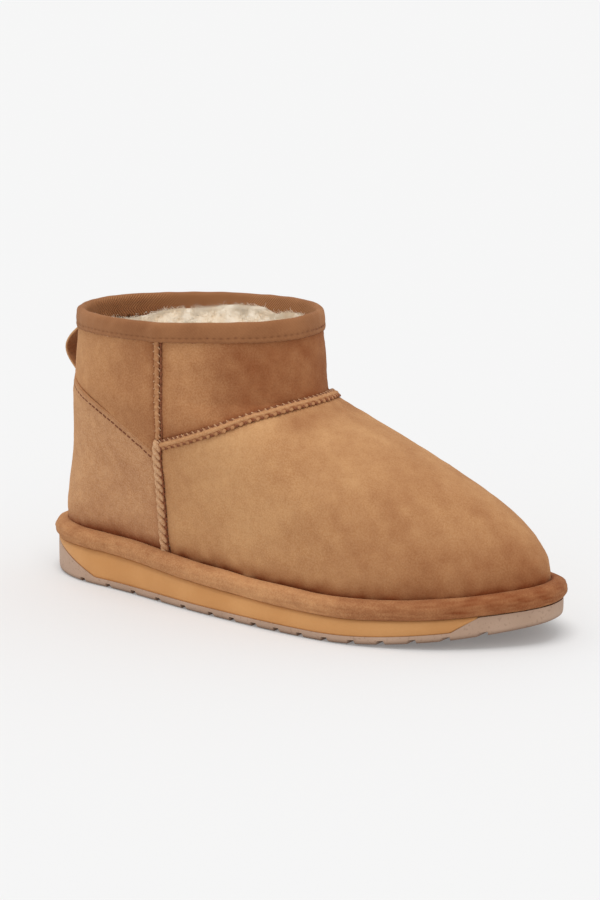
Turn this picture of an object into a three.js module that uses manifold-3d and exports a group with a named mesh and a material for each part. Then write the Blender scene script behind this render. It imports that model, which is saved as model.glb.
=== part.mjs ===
// A sheepskin boot for the right foot, standing empty on its sole.
// Millimetres, +Z up, toe towards +X, lateral side towards -Y.
import * as THREE from 'three';
import { mergeVertices } from 'three/addons/utils/BufferGeometryUtils.js';
import Module from 'manifold-3d';

const manifold = await Module();
manifold.setup();

// ---------------------------------------------------------------- driving sizes
const LENGTH = 278;                  // sole wall, heel to toe
const GAP = 0.3;                     // clearance between touching pieces
const TURN = 2 * Math.PI;

const TREAD = 4;                     // outsole layer under the midsole
const TOE_SPRING = 10.3;             // rise of the sole's underside at the toe
const SPRING_START = 0.66;           // share of the length where the rise begins
const SPRING_POWER = 1.9;
const SPRING_TOP = 0.685;            // share of the rise that the sole's top follows

const RAND_HEIGHT = 9;
const RAND_INSET = 6.4;              // inner face of the rand, from the sole wall
const UPPER_INSET = RAND_INSET + GAP;

const COLLAR_MIDDLE = -57.3;         // middle of the collar's oval along the shoe
const COLLAR_REACH = 64.6;           // half length of the collar's oval
const COLLAR_HEIGHT = 139.6;          // cut edge of the upper, mid collar
const COLLAR_TILT = 2.2;             // how much higher the collar is at its front

const WALL_FOOT = 7.5;               // suede and wool round the foot
const WALL_COLLAR = 4.4;             // suede and trimmed wool at the collar

const INSOLE_THICK = 6.5;
const INSOLE_INSET = UPPER_INSET + WALL_FOOT + 1.6;

// Stations along the sole, from heel to toe: half-widths on either side of the centre line,
// how far the toe turns towards the medial side, and the height of the sole's top.
const SOLE = [
  { along: 0.00, lateral: 34.1, medial: 34.1, turn: 0.0, top: 17.8 },
  { along: 0.15, lateral: 34.8, medial: 34.8, turn: 0.0, top: 17.8 },
  { along: 0.42, lateral: 45.4, medial: 33.0, turn: 0.0, top: 14.4 },
  { along: 0.67, lateral: 51.1, medial: 48.4, turn: 2.0, top: 12.2 },
  { along: 0.86, lateral: 45.0, medial: 47.5, turn: 7.6, top: 11.7 },
  { along: 1.00, lateral: 32.5, medial: 43.0, turn: 13.8, top: 11.5 },
];
const HEEL_ROUND = { share: 0.17, power: 2.15 };
const TOE_ROUND = { share: 0.30, power: 2.2 };

// Rings up the upper, from the sole to the collar: level is the share of the height, back and
// front are the ring's ends, inset is measured in from the sole wall, lateral and medial are the
// half-widths of the ring's oval, and sole is how far the ring still follows the sole's outline.
const UPPER = [
  { level: 0.00, back: -132.3, front: 132.3, inset: 6.7, lateral: 42.0, medial: 42.0, sole: 1.00 },
  { level: 0.06, back: -132.3, front: 132.3, inset: 6.7, lateral: 42.0, medial: 42.0, sole: 1.00 },
  { level: 0.13, back: -132.3, front: 130.8, inset: 4.8, lateral: 43.0, medial: 42.0, sole: 1.00 },
  { level: 0.20, back: -131.6, front: 126.2, inset: 4.2, lateral: 44.0, medial: 42.5, sole: 0.95 },
  { level: 0.28, back: -130.6, front: 117.3, inset: 4.2, lateral: 45.0, medial: 43.0, sole: 0.86 },
  { level: 0.36, back: -129.3, front: 104.0, inset: 4.7, lateral: 45.5, medial: 43.5, sole: 0.72 },
  { level: 0.45, back: -128.0, front: 83.5, inset: 5.5, lateral: 45.5, medial: 44.0, sole: 0.52 },
  { level: 0.54, back: -126.8, front: 59.0, inset: 6.5, lateral: 45.5, medial: 44.5, sole: 0.32 },
  { level: 0.61, back: -126.0, front: 36.5, inset: 7.5, lateral: 45.5, medial: 45.0, sole: 0.18 },
  { level: 0.66, back: -125.5, front: 19.5, inset: 8.0, lateral: 45.5, medial: 45.5, sole: 0.08 },
  { level: 0.70, back: -125.1, front: 12.5, inset: 8.0, lateral: 45.4, medial: 46.0, sole: 0.02 },
  { level: 0.80, back: -124.1, front: 11.8, inset: 8.0, lateral: 45.2, medial: 46.5, sole: 0.00 },
  { level: 1.00, back: -121.7, front: 8.4, inset: 8.0, lateral: 45.5, medial: 48.0, sole: 0.00 },
];

// ---------------------------------------------------------------- smooth tables
// A table's column as a function of its key: passes through every row and never overshoots.
function column(rows, key, name) {
  const x = rows.map((row) => row[key]);
  const y = rows.map((row) => row[name]);
  const step = x.slice(1).map((value, i) => value - x[i]);
  const slope = step.map((width, i) => (y[i + 1] - y[i]) / width);
  const tangent = x.map((_, i) => {
    if (i === 0) return slope[0];
    if (i === slope.length) return slope[i - 1];
    if (slope[i - 1] * slope[i] <= 0) return 0;
    const before = 2 * step[i] + step[i - 1];
    const after = step[i] + 2 * step[i - 1];
    return (before + after) / (before / slope[i - 1] + after / slope[i]);
  });
  return (at) => {
    const last = slope.length - 1;
    const found = x.findIndex((value) => value > at) - 1;
    const i = found < 0 ? (at < x[0] ? 0 : last) : found;
    const t = THREE.MathUtils.clamp((at - x[i]) / step[i], 0, 1);
    const rise = slope[i] * step[i];
    const enter = tangent[i] * step[i];
    const leave = tangent[i + 1] * step[i];
    return y[i] + t * (enter + t * (3 * rise - 2 * enter - leave + t * (enter + leave - 2 * rise)));
  };
}

function columns(rows, key, names) {
  return Object.fromEntries(names.map((name) => [name, column(rows, key, name)]));
}

const sole = columns(SOLE, 'along', ['lateral', 'medial', 'turn', 'top']);
const ring = columns(UPPER, 'level', ['back', 'front', 'inset', 'lateral', 'medial', 'sole']);

// ---------------------------------------------------------------- the sole's form
const alongAt = (x) => THREE.MathUtils.clamp(x / LENGTH + 0.5, 0, 1);

// How far the sole's underside has risen, and the heights of the sole's faces, at x.
function springAt(x) {
  const share = Math.max(0, (alongAt(x) - SPRING_START) / (1 - SPRING_START));
  return TOE_SPRING * share ** SPRING_POWER;
}
const soleTop = (x) => sole.top(alongAt(x)) + SPRING_TOP * springAt(x);

const roundEnd = (share, power) => (1 - Math.max(0, share) ** power) ** (1 / power);

// The sole wall's outline. The angle runs from the heel, 0, along the lateral side to the toe, pi,
// and back along the medial side.
function outlinePoint(angle) {
  const along = (1 - Math.cos(angle)) / 2;
  const heel = roundEnd(1 - along / HEEL_ROUND.share, HEEL_ROUND.power);
  const toe = roundEnd(1 - (1 - along) / TOE_ROUND.share, TOE_ROUND.power);
  const reach = Math.sin(angle) >= 0 ? -sole.lateral(along) : sole.medial(along);
  return new THREE.Vector2((along - 0.5) * LENGTH, reach * heel * toe + sole.turn(along));
}

// The same outline moved outwards, square to itself.
function outline(angle, outwards) {
  const tiny = 1e-3;
  const along = outlinePoint(angle + tiny).sub(outlinePoint(angle - tiny)).normalize();
  return outlinePoint(angle).add(new THREE.Vector2(along.y, -along.x).multiplyScalar(outwards));
}

// ---------------------------------------------------------------- the upper's form
const upperBottom = (x) => soleTop(x) + GAP;
const collarAt = (x) => COLLAR_HEIGHT + COLLAR_TILT * (x - COLLAR_MIDDLE) / COLLAR_REACH;
const heightAt = (x, level) => THREE.MathUtils.lerp(upperBottom(x), collarAt(x), level);

// A point of the upper's outside. The angle runs as on the sole's outline, the level from 0 at the
// sole to 1 at the collar.
function skinPoint(angle, level) {
  const inset = ring.inset(level);
  const lasted = outline(angle, -inset);
  const lastedReach = lasted.x / (LENGTH / 2 - inset);
  const side = Math.sin(angle) >= 0 ? -ring.lateral(level) : ring.medial(level);
  const follow = ring.sole(level);
  const share = (1 + THREE.MathUtils.lerp(-Math.cos(angle), lastedReach, follow)) / 2;
  const x = THREE.MathUtils.lerp(ring.back(level), ring.front(level), share);
  const y = THREE.MathUtils.lerp(side * Math.abs(Math.sin(angle)), lasted.y, follow);
  return new THREE.Vector3(x, y, heightAt(x, level));
}

// The outward direction there.
function skinNormal(angle, level) {
  const tiny = 2e-3;
  const low = Math.max(0, level - tiny);
  const high = Math.min(1, level + tiny);
  const round = skinPoint(angle + tiny, level).sub(skinPoint(angle - tiny, level));
  const up = skinPoint(angle, high).sub(skinPoint(angle, low));
  const normal = new THREE.Vector3().crossVectors(round, up).normalize();
  if (level === 0 || level === 1) normal.setZ(0).normalize();
  return normal;
}

// A point raised above the outside, or sunk below it.
function skin(angle, level, raised) {
  return skinPoint(angle, level).addScaledVector(skinNormal(angle, level), raised);
}

// The level at which the outside reaches a height, and the angle at which it reaches an x.
function solve(low, high, tooFar) {
  let [a, b] = [low, high];
  for (let i = 0; i < 30; i += 1) {
    const middle = (a + b) / 2;
    if (tooFar(middle)) b = middle;
    else a = middle;
  }
  return a;
}
const levelAt = (angle, z) => solve(0, 1, (level) => skinPoint(angle, level).z > z);
function angleAt(x, level, side) {
  return side * solve(0, Math.PI, (turn) => skinPoint(side * turn, level).x > x);
}

// ---------------------------------------------------------------- solids from rings
function steps(count, closed) {
  return Array.from({ length: count }, (_, i) => i / (closed ? count : count - 1));
}
const around = (count) => steps(count, true).map((share) => share * TURN);

function surface(rings, index) {
  const positions = rings.flat().flatMap((point) => point.toArray());
  const geometry = new THREE.BufferGeometry();
  geometry.setAttribute('position', new THREE.Float32BufferAttribute(positions, 3));
  geometry.setIndex(index);
  return geometry;
}

// Joins rings of equal length into one closed body. Rings that loop join the last to the first;
// otherwise each end is closed by a strip laid across from side to side.
function loft(rings, loops) {
  const count = rings[0].length;
  const index = [];
  const last = loops ? rings.length : rings.length - 1;
  for (let r = 0; r < last; r += 1) {
    const lower = r * count;
    const upper = ((r + 1) % rings.length) * count;
    for (let i = 0; i < count; i += 1) {
      const next = (i + 1) % count;
      index.push(lower + i, lower + next, upper + next, lower + i, upper + next, upper + i);
    }
  }
  const cap = (start, flipped) => {
    for (let i = 0; i < count / 2; i += 1) {
      const [a, b] = [start + i, start + i + 1];
      const [c, d] = [start + (count - i) % count, start + count - i - 1];
      const faces = i === 0 ? [[a, d, b]] : [[a, c, b], [c, d, b]];
      if (d === b) faces.pop();
      for (const face of faces) index.push(...(flipped ? face.reverse() : face));
    }
  };
  if (!loops) {
    cap(0, false);
    cap((rings.length - 1) * count, true);
  }
  return surface(rings, index);
}

// A band that follows the sole's outline: each corner of its section has an offset from the sole
// wall and a height above a surface.
function band(corners, count, loops) {
  return loft(corners.map(({ out, height }) => around(count).map((angle) => {
    const point = outline(angle, out);
    return new THREE.Vector3(point.x, point.y, height(point.x));
  })), loops);
}

// A welt's section: shares of its width and of its rise.
const ARCH = [[-0.5, 0], [-0.36, 0.72], [0, 1], [0.36, 0.72], [0.5, 0]];

// A strip that follows a route over the upper, given as points with an angle, a level and a lift
// off the surface: a low arch across its width.
function welt(route, { width, rise }) {
  const places = route.map(({ angle, level, lift }) => ({
    at: skin(angle, level, lift),
    out: skinNormal(angle, level),
  }));
  const rings = places.map(({ at, out }, i) => {
    const before = places[Math.max(0, i - 1)].at;
    const after = places[Math.min(places.length - 1, i + 1)].at;
    const across = new THREE.Vector3().subVectors(after, before).normalize().cross(out);
    return ARCH.map(([share, crown]) => at.clone()
      .addScaledVector(out, crown * rise)
      .addScaledVector(across, share * width));
  });
  return stack(rings);
}

// Rings of any section joined end to end, with each end closed by a fan.
function stack(rings) {
  const count = rings[0].length;
  const index = [];
  for (let r = 0; r < rings.length - 1; r += 1) {
    for (let i = 0; i < count; i += 1) {
      const [a, b] = [r * count + i, r * count + (i + 1) % count];
      index.push(a, b, b + count, a, b + count, a + count);
    }
  }
  const end = (rings.length - 1) * count;
  for (let i = 1; i < count - 1; i += 1) {
    index.push(0, i + 1, i);
    index.push(end, end + i, end + i + 1);
  }
  return surface(rings, index);
}

// ---------------------------------------------------------------- joining and cutting
function toSolid(geometry) {
  const bare = geometry.clone();
  bare.deleteAttribute('normal');
  bare.deleteAttribute('uv');
  const merged = mergeVertices(bare, 1e-5);
  return new manifold.Manifold(new manifold.Mesh({
    numProp: 3,
    vertProperties: Float32Array.from(merged.attributes.position.array),
    triVerts: Uint32Array.from(merged.index.array),
  }));
}

function toGeometry(solid) {
  const { vertProperties, triVerts } = solid.getMesh();
  const geometry = new THREE.BufferGeometry();
  geometry.setAttribute('position', new THREE.BufferAttribute(Float32Array.from(vertProperties), 3));
  geometry.setIndex(new THREE.BufferAttribute(Uint32Array.from(triVerts), 1));
  return geometry;
}

// ---------------------------------------------------------------- sole pieces
const STEPS = 80;                                // points round the sole and the upper
const HEEL_WEDGE = { full: -133, thin: -97 };    // x where the outsole's wedge meets the rand and ends
const TOE_WEDGE = { thin: 106.8, full: 117 };
const LUGS = [
  { first: -105.5, pitch: 17.7, count: 5 },
  { first: -16.5, pitch: 13.5, count: 11 },
];
const GROOVE = { width: 2.4, depth: 2 };
const MIDSOLE_CUT = 0.15;                        // share of a wedge left off where it gets thin

// Corners of the sections, from the sole wall and above the face each piece stands on.
const TREAD_EDGE = [{ out: -1.6, lift: 0 }, { out: -0.4, lift: 1.2 }, { out: 0, lift: 3.6 }];
const RAND_SECTION = [
  { out: -0.6, lift: 0 },
  { out: 1.2, lift: 1.6 },
  { out: 1.8, lift: 4 },
  { out: 1.0, lift: 6.6 },
  { out: -1.4, lift: 8.5 },
  { out: -4.0, lift: RAND_HEIGHT },
  { out: -RAND_INSET, lift: 7 },
  { out: -RAND_INSET, lift: 0 },
];
const INSOLE_SECTION = [
  { out: -INSOLE_INSET, lift: 0 },
  { out: -INSOLE_INSET, lift: INSOLE_THICK - 1.5 },
  { out: -INSOLE_INSET - 2, lift: INSOLE_THICK },
];
const onFace = (section, face) => section.map(({ out, lift }) => (
  { out, height: (x) => face(x) + lift }
));

// Height of the outsole's upper face: the tread layer, and the wedges that climb to the rand.
function outsoleTop(x) {
  const heel = (HEEL_WEDGE.thin - x) / (HEEL_WEDGE.thin - HEEL_WEDGE.full);
  const toe = (x - TOE_WEDGE.thin) / (TOE_WEDGE.full - TOE_WEDGE.thin);
  const climb = THREE.MathUtils.clamp(Math.max(heel, toe), 0, 1);
  return THREE.MathUtils.lerp(springAt(x) + TREAD, soleTop(x), climb);
}

function outsole() {
  const edge = [...onFace(TREAD_EDGE, springAt), { out: 0, height: outsoleTop }];
  const body = toSolid(band(edge, STEPS, false));
  const grooves = LUGS.flatMap(({ first, pitch, count }) => steps(count, false).map((share) => {
    const x = first + share * (count - 1) * pitch;
    const height = 2 * GROOVE.depth;
    const box = new THREE.BoxGeometry(GROOVE.width, LENGTH, height);
    return toSolid(box.translate(x, 0, springAt(x) + GROOVE.depth - height / 2));
  }));
  return toGeometry(grooves.reduce((solid, groove) => solid.subtract(groove), body));
}

// The midsole lies between the wedges. Its ends taper with them and are cut off where they get thin.
function midsole() {
  const body = toSolid(band([
    { out: 0.0, height: (x) => Math.min(outsoleTop(x) + GAP, soleTop(x) - 0.01) },
    { out: 0.4, height: (x) => (outsoleTop(x) + GAP + soleTop(x)) / 2 },
    { out: 0.0, height: (x) => soleTop(x) },
  ], STEPS, false));
  const cut = (wedge) => wedge.full + (wedge.thin - wedge.full) * MIDSOLE_CUT;
  const start = cut(HEEL_WEDGE);
  const end = cut(TOE_WEDGE);
  const keep = new THREE.BoxGeometry(end - start, LENGTH, LENGTH).translate((start + end) / 2, 0, 0);
  return toGeometry(body.intersect(toSolid(keep)));
}

const rand = () => band(onFace(RAND_SECTION, upperBottom), STEPS, true);
const insole = () => band(onFace(INSOLE_SECTION, upperBottom), STEPS / 2, false);

// ---------------------------------------------------------------- upper pieces
const OUTSIDE_LEVELS = [0, 0.06, 0.1, 0.14, 0.19, 0.25, 0.31, 0.37, 0.43, 0.49, 0.55, 0.6, 0.64,
  0.67, 0.7, 0.74, 0.82, 0.91, 1];
const INSIDE_LEVELS = [1, 0.9, 0.8, 0.7, 0.62, 0.52, 0.42, 0.32, 0.22, 0.1, 0];
const WALL_THINS = [0.6, 0.9];                   // levels between which the wall gets thinner

function wallAt(level) {
  const share = THREE.MathUtils.smoothstep(level, ...WALL_THINS);
  return THREE.MathUtils.lerp(WALL_FOOT, WALL_COLLAR, share);
}

function upper() {
  const outside = OUTSIDE_LEVELS.map((level) => around(STEPS).map((angle) => skin(angle, level, 0)));
  const inside = INSIDE_LEVELS.map((level) => around(STEPS)
    .map((angle) => skin(angle, level, -wallAt(level))));
  return loft([...outside, ...inside], true);
}

const BINDING = { outside: 8.8, inside: 9, thick: 1.3, roll: 1.4 };

// A strip folded over the collar's edge: up the outside, over the roll and down the inside.
function collarBinding() {
  const inner = WALL_COLLAR + GAP;
  const outer = inner + BINDING.thick;
  const fold = [
    { raised: GAP, down: BINDING.outside },
    { raised: GAP + BINDING.thick, down: BINDING.outside },
    { raised: GAP + BINDING.thick, down: 1.4 },
    { raised: 0.4, down: -0.8 },
    { raised: -WALL_COLLAR / 2, down: -BINDING.roll },
    { raised: -inner + 0.2, down: -0.8 },
    { raised: -outer, down: 1.4 },
    { raised: -outer, down: BINDING.inside },
    { raised: -inner, down: BINDING.inside },
    { raised: -inner, down: -GAP },
    { raised: GAP, down: -GAP },
  ];
  return loft(fold.map(({ raised, down }) => around(STEPS).map((angle) => {
    const rim = skinPoint(angle, 1);
    const below = skin(angle, levelAt(angle, rim.z - Math.max(0, down)), raised);
    return below.setZ(rim.z - down);
  })), true);
}

const SEAM = { front: 101.4, drop: 20, spread: 1.695, width: 4.6, rise: 2.2, hollow: 1.5 };
const SIDE = { above: -47.4, below: -50.5, bend: [70, 92], low: 31, width: 4, rise: 2 };
const CLEAR = 0.5;                               // welts and panels off the upper's facets

// The side seams run straight down from the collar and stand a little further back below the
// vamp seam.
function sideX(z) {
  return THREE.MathUtils.lerp(SIDE.below, SIDE.above, THREE.MathUtils.smoothstep(z, ...SIDE.bend));
}

// The place on one side of the upper with a given x and height.
function placeAt(x, z, side) {
  let angle = side * Math.PI / 2;
  let level = 0.5;
  for (let i = 0; i < 12; i += 1) {
    level = levelAt(angle, z);
    angle = angleAt(x, level, side);
  }
  return { angle, level };
}

function sideRoute(side) {
  const high = COLLAR_HEIGHT - BINDING.outside - 0.8;
  return steps(20, false).map((share) => {
    const z = THREE.MathUtils.lerp(SIDE.low, high, share);
    return { ...placeAt(sideX(z), z, side), lift: CLEAR };
  });
}

// The vamp seam bridges the hollow of the instep and falls to the side seams.
function vampRoute() {
  return steps(41, false).map((share) => {
    const across = 2 * share - 1;
    const angle = Math.PI + SEAM.spread * across;
    const level = levelAt(angle, SEAM.front - SEAM.drop * across ** 2);
    return { angle, level, lift: CLEAR + SEAM.hollow * (1 - across ** 2) };
  });
}

const COUNTER = { top: 104, drop: 30.4, power: 2.4, low: 0.09, thick: 1.3, clear: 2.6 };

// The heel counter is a panel between two forms just outside the upper. Its top line rises to the
// back of the heel, and its sides stop just short of the side seams.
function heelCounter() {
  const edge = (level, side) => angleAt(sideX(heightAt(SIDE.above, level)) - COUNTER.clear, level, side);
  const rings = steps(37, false).map((share) => {
    const across = 1 - 2 * share;
    const angle = (level) => Math.abs(across) * edge(level, Math.sign(across));
    const height = COUNTER.top - COUNTER.drop * Math.abs(across) ** COUNTER.power;
    const top = solve(0, 1, (level) => skinPoint(angle(level), level).z > height);
    const levels = steps(9, false).map((row) => THREE.MathUtils.lerp(COUNTER.low, top, row));
    const outer = levels.map((level) => skin(angle(level), level, CLEAR + COUNTER.thick));
    const inner = levels.map((level) => skin(angle(level), level, CLEAR)).reverse();
    return [...outer, ...inner];
  });
  return stack(rings);
}

const LOOP = { width: 13, thick: 1.8, high: 127.2, low: 101, tab: 5, bulge: 8.5 };

// The pull loop: a strap that bows out from the back of the shaft. Its foot lies on the counter.
function pullLoop() {
  const onCounter = CLEAR + COUNTER.thick + GAP;
  const back = (z) => skin(0, levelAt(0, z), 0).x;
  const bow = steps(13, false).map((share) => {
    const z = THREE.MathUtils.lerp(LOOP.low, LOOP.high, share);
    const raised = THREE.MathUtils.lerp(onCounter, GAP, share);
    return new THREE.Vector2(back(z) - raised - LOOP.bulge * Math.sin(Math.PI * share) ** 1.2, z);
  });
  const foot = LOOP.low - LOOP.tab;
  const near = [new THREE.Vector2(back(foot) - onCounter, foot), ...bow];
  const far = near.map((point, i) => {
    const before = near[Math.max(0, i - 1)];
    const after = near[Math.min(near.length - 1, i + 1)];
    const along = after.clone().sub(before).normalize();
    return point.clone().add(new THREE.Vector2(-along.y, along.x).multiplyScalar(LOOP.thick));
  });
  const shape = new THREE.Shape([...near, ...far.reverse()]);
  const strap = new THREE.ExtrudeGeometry(shape, { depth: LOOP.width, bevelEnabled: false });
  return strap.rotateX(Math.PI / 2).translate(0, LOOP.width / 2, 0);
}

// ---------------------------------------------------------------- assembly
const LATERAL = 1;
const MEDIAL = -1;
const WELT = 0x9f6e46;
const PIECES = [
  { name: 'outsole', color: 0xb79981, roughness: 0.75, make: outsole },
  { name: 'midsole', color: 0xc8915e, roughness: 0.7, make: midsole },
  { name: 'rand', color: WELT, roughness: 0.9, make: rand },
  { name: 'insole', color: 0xdac7ae, roughness: 1, make: insole },
  { name: 'upper', color: 0xb27f55, roughness: 0.92, make: upper },
  { name: 'heel_counter', color: 0xb1815b, roughness: 0.92, make: heelCounter },
  { name: 'vamp_seam', color: WELT, roughness: 0.9, make: () => welt(vampRoute(), SEAM) },
  { name: 'side_seam_lateral', color: WELT, roughness: 0.9, make: () => welt(sideRoute(LATERAL), SIDE) },
  { name: 'side_seam_medial', color: WELT, roughness: 0.9, make: () => welt(sideRoute(MEDIAL), SIDE) },
  { name: 'collar_binding', color: 0x966542, roughness: 0.9, make: collarBinding },
  { name: 'pull_loop', color: 0x96653f, roughness: 0.85, make: pullLoop },
];

const boot = new THREE.Group();
for (const { name, color, roughness, make } of PIECES) {
  const material = new THREE.MeshStandardMaterial({ color, roughness, metalness: 0 });
  const mesh = new THREE.Mesh(make(), material);
  mesh.name = name;
  boot.add(mesh);
}

// The origin is below the middle of the whole boot.
const extent = new THREE.Box3().setFromObject(boot);
const middle = extent.getCenter(new THREE.Vector3());
boot.position.set(-middle.x, -middle.y, -extent.min.z);

export default boot;
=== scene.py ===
import math

import bmesh
import bpy
import numpy as np
from mathutils import Matrix, Vector


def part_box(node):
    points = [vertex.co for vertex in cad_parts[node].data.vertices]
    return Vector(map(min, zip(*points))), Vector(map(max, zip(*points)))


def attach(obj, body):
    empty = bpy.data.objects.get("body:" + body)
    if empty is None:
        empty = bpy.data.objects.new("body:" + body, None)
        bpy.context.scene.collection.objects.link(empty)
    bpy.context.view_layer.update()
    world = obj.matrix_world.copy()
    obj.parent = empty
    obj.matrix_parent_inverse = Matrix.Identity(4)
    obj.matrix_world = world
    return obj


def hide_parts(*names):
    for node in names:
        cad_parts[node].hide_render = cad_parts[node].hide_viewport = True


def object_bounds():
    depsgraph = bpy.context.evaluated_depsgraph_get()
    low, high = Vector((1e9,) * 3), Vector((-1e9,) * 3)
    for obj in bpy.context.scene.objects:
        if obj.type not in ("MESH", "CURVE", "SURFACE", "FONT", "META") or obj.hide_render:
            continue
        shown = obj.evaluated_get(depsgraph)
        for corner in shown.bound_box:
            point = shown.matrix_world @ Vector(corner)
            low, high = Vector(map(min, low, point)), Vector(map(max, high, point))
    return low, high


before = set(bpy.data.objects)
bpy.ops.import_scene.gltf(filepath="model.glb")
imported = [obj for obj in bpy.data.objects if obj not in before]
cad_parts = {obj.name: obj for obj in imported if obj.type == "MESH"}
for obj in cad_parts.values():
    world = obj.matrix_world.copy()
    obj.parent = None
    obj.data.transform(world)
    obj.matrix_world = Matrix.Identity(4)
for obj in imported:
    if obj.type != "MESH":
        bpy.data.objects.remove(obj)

cad_low, cad_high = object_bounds()

# ---------------------------------------------------------------- the frame's sizes
LENGTH = 278.0                                   # sole wall, heel to toe, in pattern millimetres
sole_low, sole_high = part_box("outsole")
MM = (sole_high.x - sole_low.x) / LENGTH         # one pattern millimetre in the frame
GAP = 0.3                                        # left between pieces that lie together
TREAD, TOE_SPRING = 4.0, 10.3                    # tread's thickness, and how high the toe lifts
SPRING_START, SPRING_POWER, SPRING_TOP = 0.66, 1.9, 0.685
COLLAR = {"middle": -57.3, "reach": 64.6, "height": 139.6, "tilt": 2.2}
WALL_FOOT = 7.5                                  # leather and fleece together, round the foot
HEEL_ROUND, TOE_ROUND = (0.17, 2.15), (0.30, 2.2)
HEEL_WEDGE, TOE_WEDGE = (-97.0, -133.0), (106.8, 117.0)   # thin end, full end
RAND_HEIGHT = 9.0
SEAM = {"front": 101.4, "drop": 20.0, "spread": 1.695, "hollow": 1.5}
SIDE = {"above": -47.4, "below": -50.5, "bend": (70.0, 92.0), "low": 31.0}
COUNTER = {"top": 104.0, "drop": 30.4, "power": 2.4}
LOOP = {"width": 13.0, "thick": 1.8, "high": 127.2, "low": 101.0, "tab": 5.0, "bulge": 9.7, "off": 2.1}
BINDING = 8.8                                    # how far the binding comes down outside
PITCH = 4.2                                      # from one hand stitch to the next
SIDE_PITCH = 3.6                                 # and on the side seams' ribs

SOLE = {
    "along": (0.00, 0.15, 0.42, 0.67, 0.86, 1.00),
    "lateral": (34.1, 34.8, 45.4, 51.1, 45.0, 32.5),
    "medial": (34.1, 34.8, 33.0, 48.4, 47.5, 43.0),
    "turn": (0.0, 0.0, 0.0, 2.0, 7.6, 13.8),
    "top": (17.8, 17.8, 14.4, 12.2, 11.7, 11.5),
}
UPPER = {
    "level": (0.00, 0.06, 0.13, 0.20, 0.28, 0.36, 0.45, 0.54, 0.61, 0.66, 0.70, 0.80, 1.00),
    "back": (-132.3, -132.3, -132.3, -131.6, -130.6, -129.3, -128.0, -126.8, -126.0, -125.5,
             -125.1, -124.1, -121.7),
    "front": (132.3, 132.3, 130.8, 126.2, 117.3, 104.0, 83.5, 59.0, 36.5, 19.5, 12.5, 11.8, 8.4),
    "inset": (6.7, 6.7, 4.8, 4.2, 4.2, 4.7, 5.5, 6.5, 7.5, 8.0, 8.0, 8.0, 8.0),
    "lateral": (42.0, 42.0, 43.0, 44.0, 45.0, 45.5, 45.5, 45.5, 45.5, 45.5, 45.4, 45.2, 45.5),
    "medial": (42.0, 42.0, 42.0, 42.5, 43.0, 43.5, 44.0, 44.5, 45.0, 45.5, 46.0, 46.5, 48.0),
    "sole": (1.0, 1.0, 1.0, 0.95, 0.86, 0.72, 0.52, 0.32, 0.18, 0.08, 0.02, 0.0, 0.0),
}


# ---------------------------------------------------------------- small helpers
def mix(a, b, share):
    return a + (b - a) * share


def smooth(value, low, high):
    t = np.clip((np.asarray(value, float) - low) / (high - low), 0, 1)
    return t * t * (3 - 2 * t)


def bell(offset, width):
    return np.exp(-((offset / width) ** 2))


def beat(run, pitch):
    """From 1 on each stitch down to 0 halfway to the next."""
    return 0.5 + 0.5 * np.cos(2 * math.pi * run / pitch)


def unit(vectors):
    return vectors / np.linalg.norm(vectors, axis=-1, keepdims=True)


def run_along(points):
    """How far along a line of points each one lies."""
    return np.concatenate([[0], np.cumsum(np.linalg.norm(np.diff(points, axis=0), axis=1))])


def at_height(flat, height):
    """Plan points lifted to a height."""
    return np.concatenate([flat, np.broadcast_to(height, flat.shape[:-1])[..., None]], -1)


def column(keys, values):
    """A smooth function through every pair that never overshoots."""
    x, y = np.array(keys), np.array(values)
    step = np.diff(x)
    slope = np.diff(y) / step
    tangent = np.zeros(len(x))
    tangent[0], tangent[-1] = slope[0], slope[-1]
    for i in range(1, len(x) - 1):
        if slope[i - 1] * slope[i] > 0:
            before, after = 2 * step[i] + step[i - 1], step[i] + 2 * step[i - 1]
            tangent[i] = (before + after) / (before / slope[i - 1] + after / slope[i])

    def at(value):
        value = np.asarray(value, float)
        i = np.clip(np.searchsorted(x, value, side="right") - 1, 0, len(x) - 2)
        t = np.clip((value - x[i]) / step[i], 0, 1)
        rise, enter, leave = slope[i] * step[i], tangent[i] * step[i], tangent[i + 1] * step[i]
        return y[i] + t * (enter + t * (3 * rise - 2 * enter - leave + t * (enter + leave - 2 * rise)))

    return at


# ---------------------------------------------------------------- the last
sole = {name: column(SOLE["along"], values) for name, values in SOLE.items()}
ring = {name: column(UPPER["level"], values) for name, values in UPPER.items()}


def along_at(x):
    return np.clip(x / LENGTH + 0.5, 0, 1)


def spring_at(x):
    """How far the tread is off the ground, towards the toe."""
    return TOE_SPRING * np.maximum(0, (along_at(x) - SPRING_START) / (1 - SPRING_START)) ** SPRING_POWER


def sole_top(x):
    return sole["top"](along_at(x)) + SPRING_TOP * spring_at(x)


def outsole_top(x):
    """The tread's top, which climbs to the rand in a wedge at the heel and at the toe."""
    heel = (HEEL_WEDGE[0] - x) / (HEEL_WEDGE[0] - HEEL_WEDGE[1])
    toe = (x - TOE_WEDGE[0]) / (TOE_WEDGE[1] - TOE_WEDGE[0])
    return mix(spring_at(x) + TREAD, sole_top(x), np.clip(np.maximum(heel, toe), 0, 1))


def round_end(share, power):
    return (1 - np.maximum(0, share) ** power) ** (1 / power)


def outline_point(angle):
    """The sole wall's outline: the heel is at 0, the lateral side at pi/2, the toe at pi."""
    along = (1 - np.cos(angle)) / 2
    heel = round_end(1 - along / HEEL_ROUND[0], HEEL_ROUND[1])
    toe = round_end(1 - (1 - along) / TOE_ROUND[0], TOE_ROUND[1])
    reach = np.where(np.sin(angle) >= 0, -sole["lateral"](along), sole["medial"](along))
    return np.stack([(along - 0.5) * LENGTH, reach * heel * toe + sole["turn"](along)], -1)


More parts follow.
